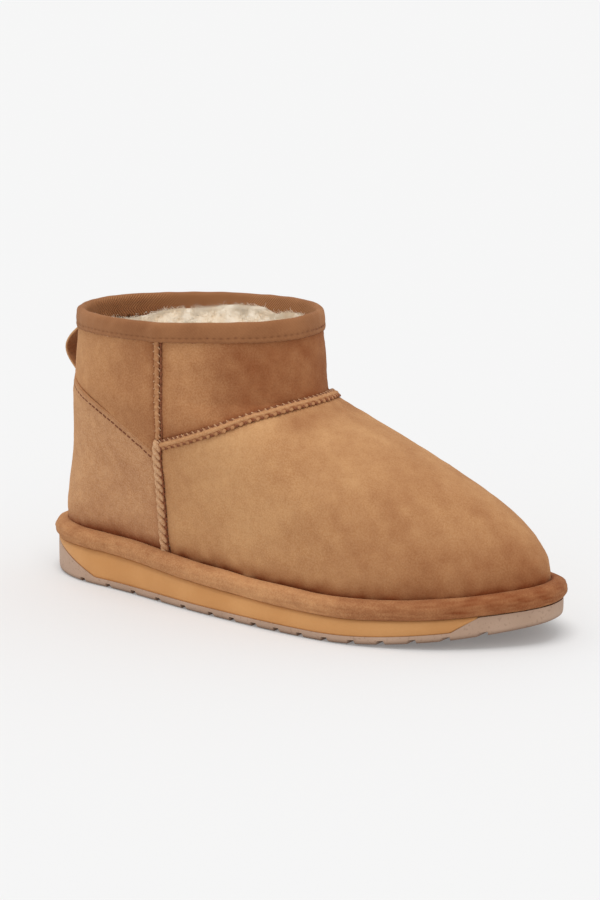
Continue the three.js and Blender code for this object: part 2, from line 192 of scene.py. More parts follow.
def outline(angle, outwards):
    """The sole wall's outline moved outwards, square to itself."""
    tiny = 1e-3
    way = unit(outline_point(angle + tiny) - outline_point(angle - tiny))
    square = np.stack([way[..., 1], -way[..., 0]], -1)
    return outline_point(angle) + square * np.asarray(outwards, float)[..., None]


def collar_at(x):
    return COLLAR["height"] + COLLAR["tilt"] * (x - COLLAR["middle"]) / COLLAR["reach"]


def skin_point(angle, level):
    """A point of the upper's outside."""
    angle, level = np.broadcast_arrays(np.asarray(angle, float), np.asarray(level, float))
    inset = ring["inset"](level)
    lasted = outline(angle, -inset)
    follow = ring["sole"](level)
    side = np.where(np.sin(angle) >= 0, -ring["lateral"](level), ring["medial"](level))
    share = (1 + mix(-np.cos(angle), lasted[..., 0] / (LENGTH / 2 - inset), follow)) / 2
    x = mix(ring["back"](level), ring["front"](level), share)
    y = mix(side * np.abs(np.sin(angle)), lasted[..., 1], follow)
    return np.stack([x, y, mix(sole_top(x) + GAP, collar_at(x), level)], -1)


def skin_normal(angle, level):
    tiny = 4e-3
    round_way = skin_point(angle + tiny, level) - skin_point(angle - tiny, level)
    above, below = np.minimum(1, level + tiny), np.maximum(0, level - tiny)
    up_way = skin_point(angle, above) - skin_point(angle, below)
    return unit(np.cross(round_way, up_way))


def skin(angle, level, raised):
    return skin_point(angle, level) + skin_normal(angle, level) * np.asarray(raised, float)[..., None]


def solve(low, high, too_far):
    """Where too_far first holds, for arrays of bounds."""
    a, b = np.array(low, float), np.array(high, float)
    for _ in range(26):
        middle = (a + b) / 2
        far = too_far(middle)
        a, b = np.where(far, a, middle), np.where(far, middle, b)
    return a


def level_at(angle, z):
    angle, z = np.broadcast_arrays(np.asarray(angle, float), np.asarray(z, float))
    return solve(np.zeros(z.shape), np.ones(z.shape), lambda level: skin_point(angle, level)[..., 2] > z)


def side_x(z):
    return mix(SIDE["below"], SIDE["above"], smooth(z, *SIDE["bend"]))


LEVELS = np.linspace(0, 1, 121)


def seam_turn(side):
    """How far round from the heel the side seam lies, at each of the LEVELS."""
    def past(turn):
        point = skin_point(side * turn, LEVELS)
        return point[..., 0] > side_x(point[..., 2])
    return solve(np.zeros(len(LEVELS)), np.full(len(LEVELS), math.pi), past)


LATERAL, MEDIAL = 1, -1
TURNS = {side: seam_turn(side) for side in (LATERAL, MEDIAL)}


def side_turn(level, side):
    return np.interp(level, LEVELS, TURNS[side])


def vamp_line(angle):
    """Height of the vamp seam."""
    return SEAM["front"] - SEAM["drop"] * ((angle - math.pi) / SEAM["spread"]) ** 2


def bridge(angle):
    """How far the vamp seam stands off the hollow of the instep."""
    return SEAM["hollow"] * np.clip(1 - ((angle - math.pi) / SEAM["spread"]) ** 2, 0, 1)


# The last is drawn about the middle of the sole wall, and moved here onto the frame's outsole.
around_sole = outline(np.linspace(0, 2 * math.pi, 721), np.zeros(721))
SHIFT = np.array([
    (sole_low.x + sole_high.x) / 2,
    (sole_low.y + sole_high.y) / 2 - MM * (around_sole[:, 1].min() + around_sole[:, 1].max()) / 2,
    sole_low.z,
])


def metres(points):
    return points * MM + SHIFT


def waves(points, size, seed, count=16):
    """A smooth, irregular field over points in millimetres, about 1 high, with swells of that size."""
    rng = np.random.default_rng(seed)
    ways = rng.normal(size=(count, 3))
    ways *= (2 * math.pi / size * rng.uniform(0.55, 1.5, count) / np.linalg.norm(ways, axis=1))[:, None]
    phases = rng.uniform(0, 2 * math.pi, count)
    field = np.zeros(points.shape[:-1])
    for way, phase in zip(ways, phases):
        field += np.cos(points @ way + phase)
    return field / math.sqrt(count)


def crease(points, path, width, depth):
    """A soft trough (or a ridge, with a negative depth) along a line of points over the surface,
    deepest in the middle and fading out at both ends."""
    path = np.array(path, float)
    best = np.full(points.shape[:-1], 1e9)
    share = np.zeros(points.shape[:-1])
    for i in range(len(path) - 1):
        start, way = path[i], path[i + 1] - path[i]
        t = np.clip(((points - start) @ way) / (way @ way), 0, 1)
        gap = np.linalg.norm(points - start - t[..., None] * way, axis=-1)
        share = np.where(gap < best, (i + t) / (len(path) - 1), share)
        best = np.minimum(best, gap)
    fade = np.sin(math.pi * np.clip(share, 0.02, 0.98)) ** 0.7
    return -depth * fade * bell(best, width)


# ---------------------------------------------------------------- laying pieces
def to_piece(name, bm, material, slot, nodes, sharp=None):
    """Makes an object of a bmesh, hangs it on the root body and hides the parts it stands for."""
    mesh = bpy.data.meshes.new(name)
    bm.to_mesh(mesh)
    bm.free()
    mesh.polygons.foreach_set("use_smooth", np.ones(len(mesh.polygons), bool))
    if sharp:
        mesh.set_sharp_from_angle(angle=math.radians(sharp))
    mesh.materials.append(material)
    piece = bpy.data.objects.new(name, mesh)
    bpy.context.scene.collection.objects.link(piece)
    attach(piece, "root")
    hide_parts(*nodes)
    return piece


def lay(name, across, up, place, material, slot, nodes, uv=(1, 1), shade=None, flip=False,
        thick=0, sharp=None):
    """A grid laid out by place(u, v), with u and v from 0 to 1. Edges that meet are welded.
    The UV map runs to uv; shade(points, u, v) is kept on the points as a darkness from 0 to 1.
    thick gives it a wall inwards, and edges past the angle of sharp stay sharp."""
    bm = bmesh.new()
    bm.loops.layers.uv.new("UVMap")
    bmesh.ops.create_grid(bm, x_segments=across, y_segments=up, size=0.5, calc_uvs=True)
    u, v = np.meshgrid(np.linspace(0, 1, across + 1), np.linspace(0, 1, up + 1))
    points = place(u, v)
    dark = np.zeros(u.shape) if shade is None else shade(points, u, v)
    dark_layer = bm.verts.layers.float.new("shade")
    for vert, place_at, darkness in zip(bm.verts, metres(points).reshape(-1, 3).tolist(),
                                        np.clip(dark, 0, 1).ravel().tolist()):
        vert.co = place_at
        vert[dark_layer] = darkness
    layer = bm.loops.layers.uv.active
    for face in bm.faces:
        for loop in face.loops:
            loop[layer].uv.x *= uv[0]
            loop[layer].uv.y *= uv[1]
    bmesh.ops.remove_doubles(bm, verts=bm.verts, dist=2e-6)
    if flip:
        bmesh.ops.reverse_faces(bm, faces=bm.faces)
    piece = to_piece(name, bm, material, slot, nodes, sharp)
    if thick:
        wall = piece.modifiers.new("thickness", "SOLIDIFY")
        wall.thickness = thick * MM
        wall.offset = -1
    return piece


def repeat(name, template, spots, material, slot, nodes):
    """One joined mesh of a template bmesh set down at each 4x4 matrix of spots, in millimetres."""
    bm = bmesh.new()
    small = bpy.data.meshes.new(name + "_one")
    template.to_mesh(small)
    template.free()
    for spot in spots:
        start = len(bm.verts)
        bm.from_mesh(small)
        bm.verts.ensure_lookup_table()
        bmesh.ops.transform(bm, matrix=spot, verts=bm.verts[start:])
    bpy.data.meshes.remove(small)
    for vert in bm.verts:
        vert.co = metres(np.array(vert.co))
    bmesh.ops.recalc_face_normals(bm, faces=bm.faces)
    return to_piece(name, bm, material, slot, nodes)


def bead(length, radius, flat=1.0, segments=8, rings=6):
    """A rounded stitch, lying along X."""
    bm = bmesh.new()
    bmesh.ops.create_uvsphere(bm, u_segments=segments, v_segments=rings, radius=radius)
    bmesh.ops.rotate(bm, matrix=Matrix.Rotation(math.pi / 2, 3, "Y"), verts=bm.verts)
    half = max(0, length / 2 - radius)
    bmesh.ops.translate(bm, vec=(half, 0, 0), verts=[v for v in bm.verts if v.co.x > 1e-4])
    bmesh.ops.translate(bm, vec=(-half, 0, 0), verts=[v for v in bm.verts if v.co.x < -1e-4])
    bmesh.ops.scale(bm, vec=(1, 1, flat), verts=bm.verts)
    return bm


class Line:
    """A line over the upper: points in millimetres with the way out of the surface at each."""

    def __init__(self, points, out):
        self.points, self.out = np.array(points), np.array(out)
        self.run = run_along(self.points)
        self.length = self.run[-1]
        self.way = unit(np.gradient(self.points, axis=0))
        self.across = unit(np.cross(self.way, self.out))

    def at(self, distance, values):
        distance = np.asarray(distance, float)
        return np.stack([np.interp(distance, self.run, values[:, i]) for i in range(3)], -1)

    def place(self, distance, across, out):
        """Points at a distance along, moved across to the left of the way and out."""
        return (self.at(distance, self.points)
                + self.at(distance, self.across) * np.asarray(across, float)[..., None]
                + self.at(distance, self.out) * np.asarray(out, float)[..., None])

    def spot(self, distance, across, out, slant=0.0):
        """A matrix that lays a template's X along the line, turned by slant in the surface."""
        d = np.array([distance])
        x, y, z = (Vector(self.at(d, each)[0]).normalized() for each in (self.way, self.across, self.out))
        square = x.cross(y).normalized()
        turn = Matrix((x, y, square if square.dot(z) > 0 else z)).transposed().to_4x4()
        place = Vector(self.place(d, np.array([across]), np.array([out]))[0])
        return Matrix.Translation(place) @ turn @ Matrix.Rotation(slant, 4, "Z")


def cord_along(name, line, section, material, slot, nodes, rings, sides, shade=None):
    """A closed tube along a line. section(distance, turn) gives how far across and how far out."""
    def place(u, v):
        distance = v * line.length
        turn = -2 * math.pi * u
        ends = np.sqrt(np.clip(1 - np.abs(2 * v - 1) ** 60, 0, 1))
        across, out = section(distance, turn)
        return line.place(distance, across * ends, out * ends)
    return lay(name, sides, rings, place, material, slot, nodes, shade=shade)


# ---------------------------------------------------------------- finishes
class Finish:
    """A material built node by node. Inputs are given by name; a node's output links, a number
    or colour is set on the socket."""

    def __init__(self, name, **constants):
        self.material = bpy.data.materials.new(name)
        self.material.use_nodes = True
        self.tree = self.material.node_tree
        self.shader = self.tree.nodes["Principled BSDF"]
        self.fill(self.shader, {key.replace("_", " "): value for key, value in constants.items()})
        self.place = self.node("ShaderNodeTexCoord").outputs["Object"]

    def fill(self, node, inputs):
        for key, value in inputs.items():
            socket = node.inputs[key]
            if isinstance(value, bpy.types.NodeSocket):
                self.tree.links.new(value, socket)
            else:
                socket.default_value = value

    def node(self, kind, settings=None, **inputs):
        node = self.tree.nodes.new(kind)
        for key, value in (settings or {}).items():
            setattr(node, key, value)
        self.fill(node, {key.replace("_", " "): value for key, value in inputs.items()})
        return node

    def noise(self, size_mm, detail, roughness, stretch=(1, 1, 1), turn=(0, 0, 0), distortion=0.0):
        """Noise with features of that size, from 0 to 1."""
        mapped = self.node("ShaderNodeMapping", Vector=self.place, Scale=stretch, Rotation=turn)
        return self.node("ShaderNodeTexNoise", Vector=mapped.outputs[0], Scale=1000 / size_mm, Detail=detail,
                         Roughness=roughness, Distortion=distortion).outputs[0]

    def ramp(self, value, low, high, to_low=0.0, to_high=1.0):
        node = self.node("ShaderNodeMapRange", {"interpolation_type": "SMOOTHSTEP"}, Value=value)
        for key, number in (("From Min", low), ("From Max", high), ("To Min", to_low), ("To Max", to_high)):
            node.inputs[key].default_value = number
        return node.outputs[0]

    def math(self, operation, a, b=0.0):
        node = self.tree.nodes.new("ShaderNodeMath")
        node.operation = operation
        self.fill(node, {0: a, 1: b})
        return node.outputs[0]

    def blend(self, share, a, b, how="MIX"):
        node = self.tree.nodes.new("ShaderNodeMix")
        node.data_type, node.blend_type = "RGBA", how
        self.fill(node, {0: share, 6: a, 7: b})
        return node.outputs[2]

    def attribute(self, name):
        return self.node("ShaderNodeAttribute", {"attribute_name": name}).outputs["Fac"]

    def bump(self, height, distance_mm, strength=1.0, under=None):
        inputs = {"Height": height, "Distance": distance_mm * MM, "Strength": strength}
        if under is not None:
            inputs["Normal"] = under
        return self.node("ShaderNodeBump", **inputs).outputs[0]

    def finish(self, colour, roughness=None, normal=None):
        self.fill(self.shader, {"Base Color": colour})
        if roughness is not None:
            self.fill(self.shader, {"Roughness": roughness})
        if normal is not None:
            self.fill(self.shader, {"Normal": normal})
        return self.material


def tone(r, g, b):
    """A colour as the eye names it, from 0 to 255, in the shader's own scale."""
    return tuple(((c / 255 + 0.055) / 1.055) ** 2.4 for c in (r, g, b)) + (1.0,)


def suede(name, pale, deep, worn, seed):
    """Brushed nap: broad patches where the nap lies the other way, finer mottling, and short
    hairs. It is darker where its shade attribute says: painted shade along seams, grooves and hollows."""
    f = Finish(name, Sheen_Weight=0.25, Sheen_Roughness=0.4, Sheen_Tint=tone(240, 196, 150),
               Specular_IOR_Level=0.1)
    broad = f.noise(50, 2, 0.5, turn=(seed, 0.4, 0.2), distortion=0.1)
    patch = f.noise(15, 4, 0.6, stretch=(1, 1, 0.8), turn=(0.3, seed, 0), distortion=0.1)
    fleck = f.noise(2.6, 3, 0.65)
    hair = f.noise(0.8, 3, 0.75)
    stroke = f.noise(2.0, 2, 0.6, stretch=(1, 1, 0.3), turn=(0.2, 0.5, seed))
    mottle = f.math("ADD", f.math("MULTIPLY", f.ramp(broad, 0.3, 0.7), 0.6),
                    f.math("MULTIPLY", f.ramp(patch, 0.25, 0.75), 0.4))
    colour = f.blend(mottle, deep, pale)
    colour = f.blend(f.ramp(patch, 0.58, 0.8, 0, 0.2), colour, worn)
    colour = f.blend(f.ramp(fleck, 0.36, 0.66, 0.0, 0.4), colour, deep)
    colour = f.blend(f.ramp(hair, 0.35, 0.65, 0.0, 0.45), colour, worn)
    # Painted shade: the colour darkened where the shade attribute says.
    dark = f.blend(1.0, colour, tone(172, 126, 104), "MULTIPLY")
    colour = f.blend(f.attribute("shade"), colour, dark)
    rough = f.ramp(stroke, 0.2, 0.8, 0.86, 1.0)
    normal = f.bump(hair, 0.4, 0.6)
    normal = f.bump(stroke, 0.5, 0.45, normal)
    normal = f.bump(fleck, 0.5, 0.3, normal)
    return f.finish(colour, rough, normal)


def thread_finish(name, colour, strand_highlight):
    """Waxed thread, with the turns of its strands as fine slanting ridges, lighter on their tops: a painted
    highlight.
    """
    f = Finish(name, Sheen_Weight=0.0, Specular_IOR_Level=0.15)
    strand = f.noise(0.7, 1, 0.5, stretch=(1, 1, 3), turn=(0.5, 0.5, 0.5))
    return f.finish(f.blend(f.ramp(strand, 0.3, 0.7), colour, strand_highlight), 0.75, f.bump(strand, 0.3, 0.8))


def wool_finish(name, pale, warm, root):
    """Clipped fleece: cream, with warmer locks, darker down in its roots and deep in the boot: painted shade.
    """
    f = Finish(name, Roughness=0.95, Sheen_Weight=0.5, Sheen_Roughness=0.6, Sheen_Tint=tone(255, 246, 232),
               Specular_IOR_Level=0.05)
    lock = f.noise(11, 2, 0.5, distortion=0.3)
    fibre = f.noise(1.2, 2, 0.6, distortion=0.8)
    colour = f.blend(f.ramp(lock, 0.35, 0.65, 0, 0.8), pale, warm)
    colour = f.blend(f.ramp(fibre, 0.35, 0.7, 0, 0.12), colour, root)
    # Painted shade where the shade attribute says.
    colour = f.blend(f.attribute("shade"), colour, root)
    return f.finish(colour, None, f.bump(fibre, 0.35, 0.4))


def tape_finish(name, pale, deep):
    """The binding's cloth: nearly plain outside, and inside a twill's slanting ribs, which turn
    the other way partway down. Its UV map runs round the rim and across the fold, in about
    millimetres. It is darker where its shade attribute says: painted shade."""
    f = Finish(name, Roughness=0.9, Sheen_Weight=0.3, Sheen_Roughness=0.5, Sheen_Tint=tone(225, 180, 140),
               Specular_IOR_Level=0.15)
    uv = f.node("ShaderNodeTexCoord").outputs["UV"]
    part = f.node("ShaderNodeSeparateXYZ", Vector=uv)
    run, rise = part.outputs[0], part.outputs[1]
    row = f.math("PINGPONG", rise, 10.5)
    slant = f.math("ADD", run, f.math("MULTIPLY", row, 0.8))
    rib = f.math("SINE", f.math("MULTIPLY", slant, 2 * math.pi / 1.5))
    inside = f.ramp(rise, 12.5, 14.5, 0.07, 1.0)
    rib = f.math("MULTIPLY", f.ramp(rib, -0.9, 0.8), inside)
    yarn = f.math("SINE", f.math("MULTIPLY", run, 2 * math.pi / 0.62))
    cloth = f.noise(1.0, 2, 0.6)
    broad = f.noise(24, 2, 0.5)
    colour = f.blend(f.math("ADD", f.math("MULTIPLY", inside, -0.12), 0.25), deep, pale)
    colour = f.blend(rib, colour, pale)
    colour = f.blend(f.ramp(cloth, 0.3, 0.7, 0.0, 0.3), colour, deep)
    colour = f.blend(f.ramp(broad, 0.35, 0.65, 0.0, 0.25), colour, pale)
    # Painted shade where the shade attribute says.
    colour = f.blend(f.attribute("shade"), colour, f.blend(1.0, colour, tone(150, 122, 112), "MULTIPLY"))
    normal = f.bump(rib, 0.5, 0.7, f.bump(f.math("ADD", f.math("MULTIPLY", yarn, 0.3), cloth), 0.25, 0.5))
    return f.finish(colour, None, normal)


def moulded(name, pale, deep, grain_mm, roughness, speck=None):
    """Moulded sole stock: a matte skin with fine grain, faint cloudiness and perhaps specks."""
    f = Finish(name, Specular_IOR_Level=0.3, Coat_Weight=0.0)
    cloud = f.noise(30, 3, 0.5)
    grain = f.noise(grain_mm, 3, 0.6)
    colour = f.blend(f.ramp(cloud, 0.3, 0.7), deep, pale)
    colour = f.blend(f.ramp(grain, 0.3, 0.7, 0, 0.22), colour, deep)
    if speck:
        spot = f.noise(1.6, 1, 0.4)
        colour = f.blend(f.ramp(spot, 0.62, 0.7, 0, 0.5), colour, speck)
    # Painted shade where the shade attribute says.
    colour = f.blend(f.attribute("shade"), colour, f.blend(1.0, colour, tone(150, 132, 120), "MULTIPLY"))
    rough = f.ramp(grain, 0.2, 0.8, roughness - 0.08, roughness + 0.06)
    return f.finish(colour, rough, f.bump(grain, 0.12, 0.6))


VAMP_SUEDE = suede("suede_vamp", tone(208, 159, 110), tone(186, 134, 88), tone(218, 172, 126), 0.9)
SHAFT_SUEDE = suede("suede_shaft", tone(202, 148, 100), tone(172, 117, 75), tone(214, 165, 120), 2.1)
HEEL_SUEDE = suede("suede_heel", tone(206, 155, 109), tone(172, 118, 77), tone(225, 182, 143), 3.3)
TRIM_SUEDE = suede("suede_trim", tone(204, 150, 102), tone(170, 114, 74), tone(216, 167, 120), 4.4)
RIB_SUEDE = suede("suede_rib", tone(204, 152, 106), tone(176, 122, 80), tone(220, 174, 130), 5.2)
LOOP_SUEDE = suede("suede_loop", tone(202, 156, 112), tone(174, 128, 88), tone(214, 172, 130), 6.8)
# A darker copy of the rib's suede, for the lobes on the rib's shaded vamp side: painted shade.
SHADED_LOBE_SUEDE = suede("suede_lobe_shaded", tone(194, 141, 98), tone(160, 108, 72), tone(208, 158, 114), 7.5)
# Dark thread for stitches; laid as a cord in a side seam's groove it is painted shade in the groove.
GROOVE_THREAD_AND_SHADE = thread_finish("groove_thread_and_shade", tone(122, 70, 46), tone(150, 94, 64))
ROPE_SUEDE = suede("suede_rope", tone(212, 164, 120), tone(186, 134, 92), tone(238, 206, 170), 6.1)
DARK_THREAD = thread_finish("thread_dark", tone(112, 64, 42), tone(146, 94, 64))
LIGHT_THREAD = thread_finish("thread_light", tone(172, 120, 84), tone(216, 174, 136))
WOOL = wool_finish("wool_lining", tone(254, 245, 229), tone(250, 232, 205), tone(236, 206, 172))
FOOTBED_WOOL = wool_finish("wool_footbed", tone(246, 232, 208), tone(230, 206, 174), tone(196, 162, 126))
TAPE = tape_finish("twill_tape", tone(190, 134, 90), tone(128, 80, 50))
FOAM = moulded("midsole_foam", tone(218, 160, 100), tone(208, 148, 88), 1.4, 0.62)
RUBBER = moulded("outsole_rubber", tone(192, 162, 140), tone(178, 148, 126), 0.8, 0.66, tone(156, 126, 106))

# ---------------------------------------------------------------- sole
GROOVE_ROWS = ((-105.5, 17.7, 5), (-16.5, 13.5, 11))     # first, pitch and count: heel, then forefoot
GROOVES = [first + pitch * i for first, pitch, count in GROOVE_ROWS for i in range(count)]
GROOVE_WIDTH, GROOVE_DEPTH = 3.2, 2.3


def outsole_stations():
    """Angles from heel to toe, with three close together at each edge of every groove."""
    even = np.linspace(0, math.pi, 220)
    edges = [x + side * (GROOVE_WIDTH / 2 + step)
             for x in GROOVES for side in (-1, 1) for step in (0.35, 0.08, -0.12)]
    lips = np.arccos(np.clip(-2 * np.asarray(edges) / LENGTH, -1, 1))
    clear = np.array([a for a in even if np.abs(lips - a).min() > 0.004])
    return np.sort(np.concatenate([clear, lips]))


STATIONS = outsole_stations()
FLAT, WALL = 26, 10                              # cells across the outsole, and up one of its walls
lip_at = column((0, 0.5, 1.2, 2.2, 3.6, 30), (-1.8, -0.9, -0.35, -0.1, 0, 0))


def outsole_place(u, v):
    """Sections across the sole: the underside from lateral to medial, up the medial wall, back
    over the top and down the lateral wall."""
    angle = STATIONS[np.rint(v * (len(STATIONS) - 1)).astype(int)]
    x = outline_point(angle)[..., 0]
    aside = np.min([np.abs(x - groove) for groove in GROOVES], axis=0)
    cut = 1 - smooth(aside, GROOVE_WIDTH / 2 - 0.1, GROOVE_WIDTH / 2 + 0.34)
    count = 2 * (FLAT + WALL)
    index = np.rint(u * count).astype(int)
    height = np.interp(index, (FLAT, FLAT + WALL, count - WALL, count), (0, 1, 1, 0))
    across = np.interp(index, (0, FLAT, FLAT + WALL, count - WALL), (0, 1, 1, 0))
    top = outsole_top(x)
    z = mix(spring_at(x) + GROOVE_DEPTH * cut, top, height ** 1.6)
    edge = lip_at(np.maximum(z - spring_at(x), 0)) - 0.12 * (1 - np.clip((top - z) / 0.5, 0, 1))
    lateral, medial = outline(angle, edge), outline(2 * math.pi - angle, edge)
    return at_height(lateral + (medial - lateral) * across[..., None], z)


# Painted shade on the tread's underside and low on its wall, near the floor.
def outsole_shade(p, u, v):
    return 0.75 * (1 - smooth(p[..., 2] - spring_at(p[..., 0]), 0.0, 2.6))


lay("outsole_shell", 2 * (FLAT + WALL), len(STATIONS) - 1, outsole_place, RUBBER, "outsole_rubber",
    ["outsole"], shade=outsole_shade, flip=True, sharp=38)


def eased(corners, share, weights, closed):
    """A section rounded near its corners by averaging along it, as its two columns. weights maps
    an offset along the section to its part in the average."""
    corners = np.array(corners + corners[:1] if closed else corners, float)
    key = run_along(corners)
    key /= key[-1]
    total = np.zeros((2,) + share.shape)
    for offset, weight in weights.items():
        at = (share + offset) % 1.0 if closed else np.clip(share + offset, 0, 1)
        total += weight * np.array([np.interp(at, key, corners[:, i]) for i in (0, 1)])
    return total


ROUND = 420                                      # cells round the sole
ROUNDING = {-0.033: 0.1, -0.0165: 0.22, 0: 0.36, 0.0165: 0.22, 0.033: 0.1}


def midsole_place(u, v):
    angle = 2 * math.pi * u
    x = outline_point(angle)[..., 0]
    low, high = outsole_top(x) - 0.5, sole_top(x) + 0.5
    thin = np.clip((high - low - 1.0) / 0.6, 0, 1)
    out, share = eased([(-12.0, 0.0), (-0.9, 0.0), (0.0, 0.06), (0.12, 0.3), (0.2, 0.6), (0.12, 0.92),
                        (-0.9, 1.0), (-12.0, 1.0)], v, ROUNDING, True)
    return at_height(outline(angle, out - 1.5 * (1 - thin)), mix(low, np.maximum(high, low + 0.01), share))


# Painted shade at the wedge's top, under the rand's edge, and towards the toe.
def midsole_shade(p, u, v):
    x, z = p[..., 0], p[..., 2]
    return 0.25 * smooth(z - sole_top(x), -1.2, 0.4) + 0.15 * smooth(x, 20, 110)


lay("midsole_wedge", ROUND, 44, midsole_place, FOAM, "midsole_foam", ["midsole"], shade=midsole_shade)


def along_rand(u, height, seed):
    """Streaks that run along the rand, and fade out where its ends meet at the heel."""
    run = 2.3 * LENGTH * u / 4                   # a streak is far longer than it is high
    streaks = waves(np.stack([run, 0 * run, 1.5 * height], -1), 3.2, seed)
    return streaks * smooth(np.minimum(u, 1 - u), 0, 0.02)


def rand_place(u, v):
    angle = 2 * math.pi * u
    out, height = eased([(-0.9, 0.1), (0.7, 0.9), (1.6, 2.6), (1.8, 4.4), (1.5, 6.2), (0.4, 7.9),
                         (-1.5, 8.9), (-3.9, 9.3), (-5.9, 8.9), (-6.5, 6.6), (-6.3, 0.3)],
                        v, ROUNDING, True)
    z = sole_top(outline_point(angle)[..., 0]) + GAP * 0.4 + height
    points = at_height(outline(angle, out), z)
    face = smooth(out, -3.0, 0.6)
    swell = 0.16 * waves(points, 26, 11) + 0.09 * waves(points, 7, 12) * face
    wrinkle = 0.13 * along_rand(u, height, 13)
    sag = 0.14 * waves(points, 30, 14) * smooth(height, 4, 8)
    return at_height(outline(angle, out + face * (swell + wrinkle)), z + sag)


# Painted shade in the groove along the rand's inner top edge, and towards the toe and the heel; darker at its
# foot, with streaks of the nap's own tone.
def rand_shade(p, u, v):
    height = p[..., 2] - sole_top(p[..., 0])
    inner = smooth(v, 0.46, 0.62)
    return (0.18 * smooth(-height, -1.6, 0.3) + 0.95 * inner
            + 0.2 * smooth(-p[..., 0], 60, 120) + 0.72 * smooth(p[..., 0], 10, 125)
            + 0.06 * waves(p, 9, 15) + 0.09 * along_rand(u, height, 16))


lay("rand_wrap", ROUND, 52, rand_place, TRIM_SUEDE, "suede_trim", ["rand"], shade=rand_shade)

# ---------------------------------------------------------------- the seams' lines
def seam_end(side):
    """How far round from the toe the vamp seam meets a side seam."""
    half = SEAM["spread"]
    for _ in range(6):
        level = level_at(math.pi - side * half, vamp_line(math.pi - side * half))
        half = math.pi - float(side_turn(level, side))
    return half


HALF = {side: seam_end(side) for side in (LATERAL, MEDIAL)}
VAMP_ANGLES = math.pi + np.linspace(-HALF[LATERAL], HALF[MEDIAL], 241)
VAMP_LEVELS = level_at(VAMP_ANGLES, vamp_line(VAMP_ANGLES))


def over_upper(angle, level, lift):
    return Line(skin(angle, level, lift), skin_normal(angle, level))


vamp_seam = over_upper(VAMP_ANGLES, VAMP_LEVELS, 0.5 + bridge(VAMP_ANGLES))


def side_line(side, low, high, lift):
    """The line of a side seam between two heights."""
    z = np.linspace(low, high, 160)
    angle = np.full(z.shape, side * math.pi / 2)
    for _ in range(8):
        level = level_at(angle, z)
        angle = side * side_turn(level, side)
    return over_upper(angle, level_at(angle, z), np.full(z.shape, lift))


RIM_HEIGHT = COLLAR["height"] - BINDING


# ---------------------------------------------------------------- upper panels
def borders(points):
    """Distances in millimetres from each point of a laid grid to its left, right, low and high edges,
    and how far along each run it is."""
    across = np.linalg.norm(np.diff(points, axis=1), axis=-1)
    run = np.concatenate([np.zeros((len(points), 1)), np.cumsum(across, axis=1)], 1)
    up = np.linalg.norm(np.diff(points, axis=0), axis=-1)
    rise = np.concatenate([np.zeros((1, points.shape[1])), np.cumsum(up, axis=0)], 0)
    return run, run[:, -1:] - run, rise, rise[-1:] - rise


def pucker(distance, run, depth):
    """Dimples where stitches pull an edge down."""
    return -depth * bell(distance, 2.2) * beat(run, PITCH) ** 1.5


def tuck(distance, depth, reach):
    """An edge that rolls down into its seam."""
    return -depth * (1 - np.clip(distance / reach, 0, 1)) ** 2


VAMP_LOW = 0.022                                 # level where the vamp and counter go into the sole
# Each crease is a path in pattern millimetres, a width and a depth.
vamp_creases = [
    ([(19, -14, 88), (27, -4, 86), (33, 8, 83)], 4.0, 0.9),
    ([(16, -26, 84), (24, -22, 80), (34, -20, 75)], 3.2, 0.45),
    ([(30, 12, 84), (40, 8, 78), (52, 2, 70)], 7.0, 0.55),
    ([(-38, -46, 60), (-28, -46, 48), (-14, -47, 40)], 7.0, 0.5),
    ([(-44, -45, 38), (-34, -47, 31), (-20, -48, 27)], 4.5, 0.7),
    ([(60, -38, 40), (78, -38, 36), (96, -30, 34)], 12.0, -0.4),
    ([(70, 0, 62), (88, -6, 52), (104, -12, 40)], 13.0, 0.3),
    ([(20, -44, 50), (36, -44, 42), (56, -42, 36)], 12.0, 0.5),
]
shaft_creases = [
    ([(-38, -46, 118), (-22, -44, 112), (-6, -36, 110)], 6.0, 0.5),
    ([(-40, -46, 104), (-28, -46, 98), (-18, -43, 96)], 5.0, -0.5),
    ([(-30, -45, 124), (-12, -40, 122), (4, -26, 118)], 5.0, -0.4),
    ([(-34, -46, 92), (-22, -44, 94), (-8, -38, 99)], 3.5, 0.6),
    ([(-10, -40, 112), (2, -30, 106), (9, -16, 106)], 5.0, 0.45),
    ([(6, -22, 126), (9, -10, 118), (11, 2, 112)], 6.0, -0.4),
]
back_creases = [
    ([(-56, -46, 124), (-70, -46, 112), (-88, -42, 108)], 7.0, 0.5),
    ([(-54, -46, 108), (-62, -46, 98), (-72, -45, 94)], 5.0, -0.45),
    ([(-100, -36, 126), (-108, -30, 116), (-112, -26, 106)], 7.0, 0.4),
]
heel_creases = [
    ([(-60, -46, 58), (-72, -44, 50), (-90, -40, 46)], 7.0, 0.55),
    ([(-58, -46, 44), (-76, -43, 38), (-98, -36, 36)], 6.0, -0.55),
    ([(-84, -42, 76), (-88, -40, 62), (-96, -37, 50)], 8.0, 0.55),
    ([(-104, -34, 70), (-108, -30, 56), (-112, -28, 44)], 7.0, -0.5),
    ([(-60, -46, 33), (-82, -41, 31), (-106, -32, 31)], 3.2, 0.5),
]


def front_half(u, level):
    """How far round from the toe the front panels reach on either side."""
    return math.pi - np.where(u < 0.5, side_turn(level, LATERAL), side_turn(level, MEDIAL))


def vamp_base(u, v):
    """Angle and level of the vamp, from the sole up to its seam."""
    angle = math.pi + SEAM["spread"] * (2 * u - 1)
    for _ in range(5):
        level = mix(VAMP_LOW, np.interp(angle, VAMP_ANGLES, VAMP_LEVELS), v)
        angle = math.pi + (2 * u - 1) * front_half(u, level)
    return angle, mix(VAMP_LOW, np.interp(angle, VAMP_ANGLES, VAMP_LEVELS), v)


def spaced(share):
    """Shares moved closer to both ends, so a panel's cells are small along its edges."""
    return share - 0.55 * np.sin(2 * math.pi * share) / (2 * math.pi)


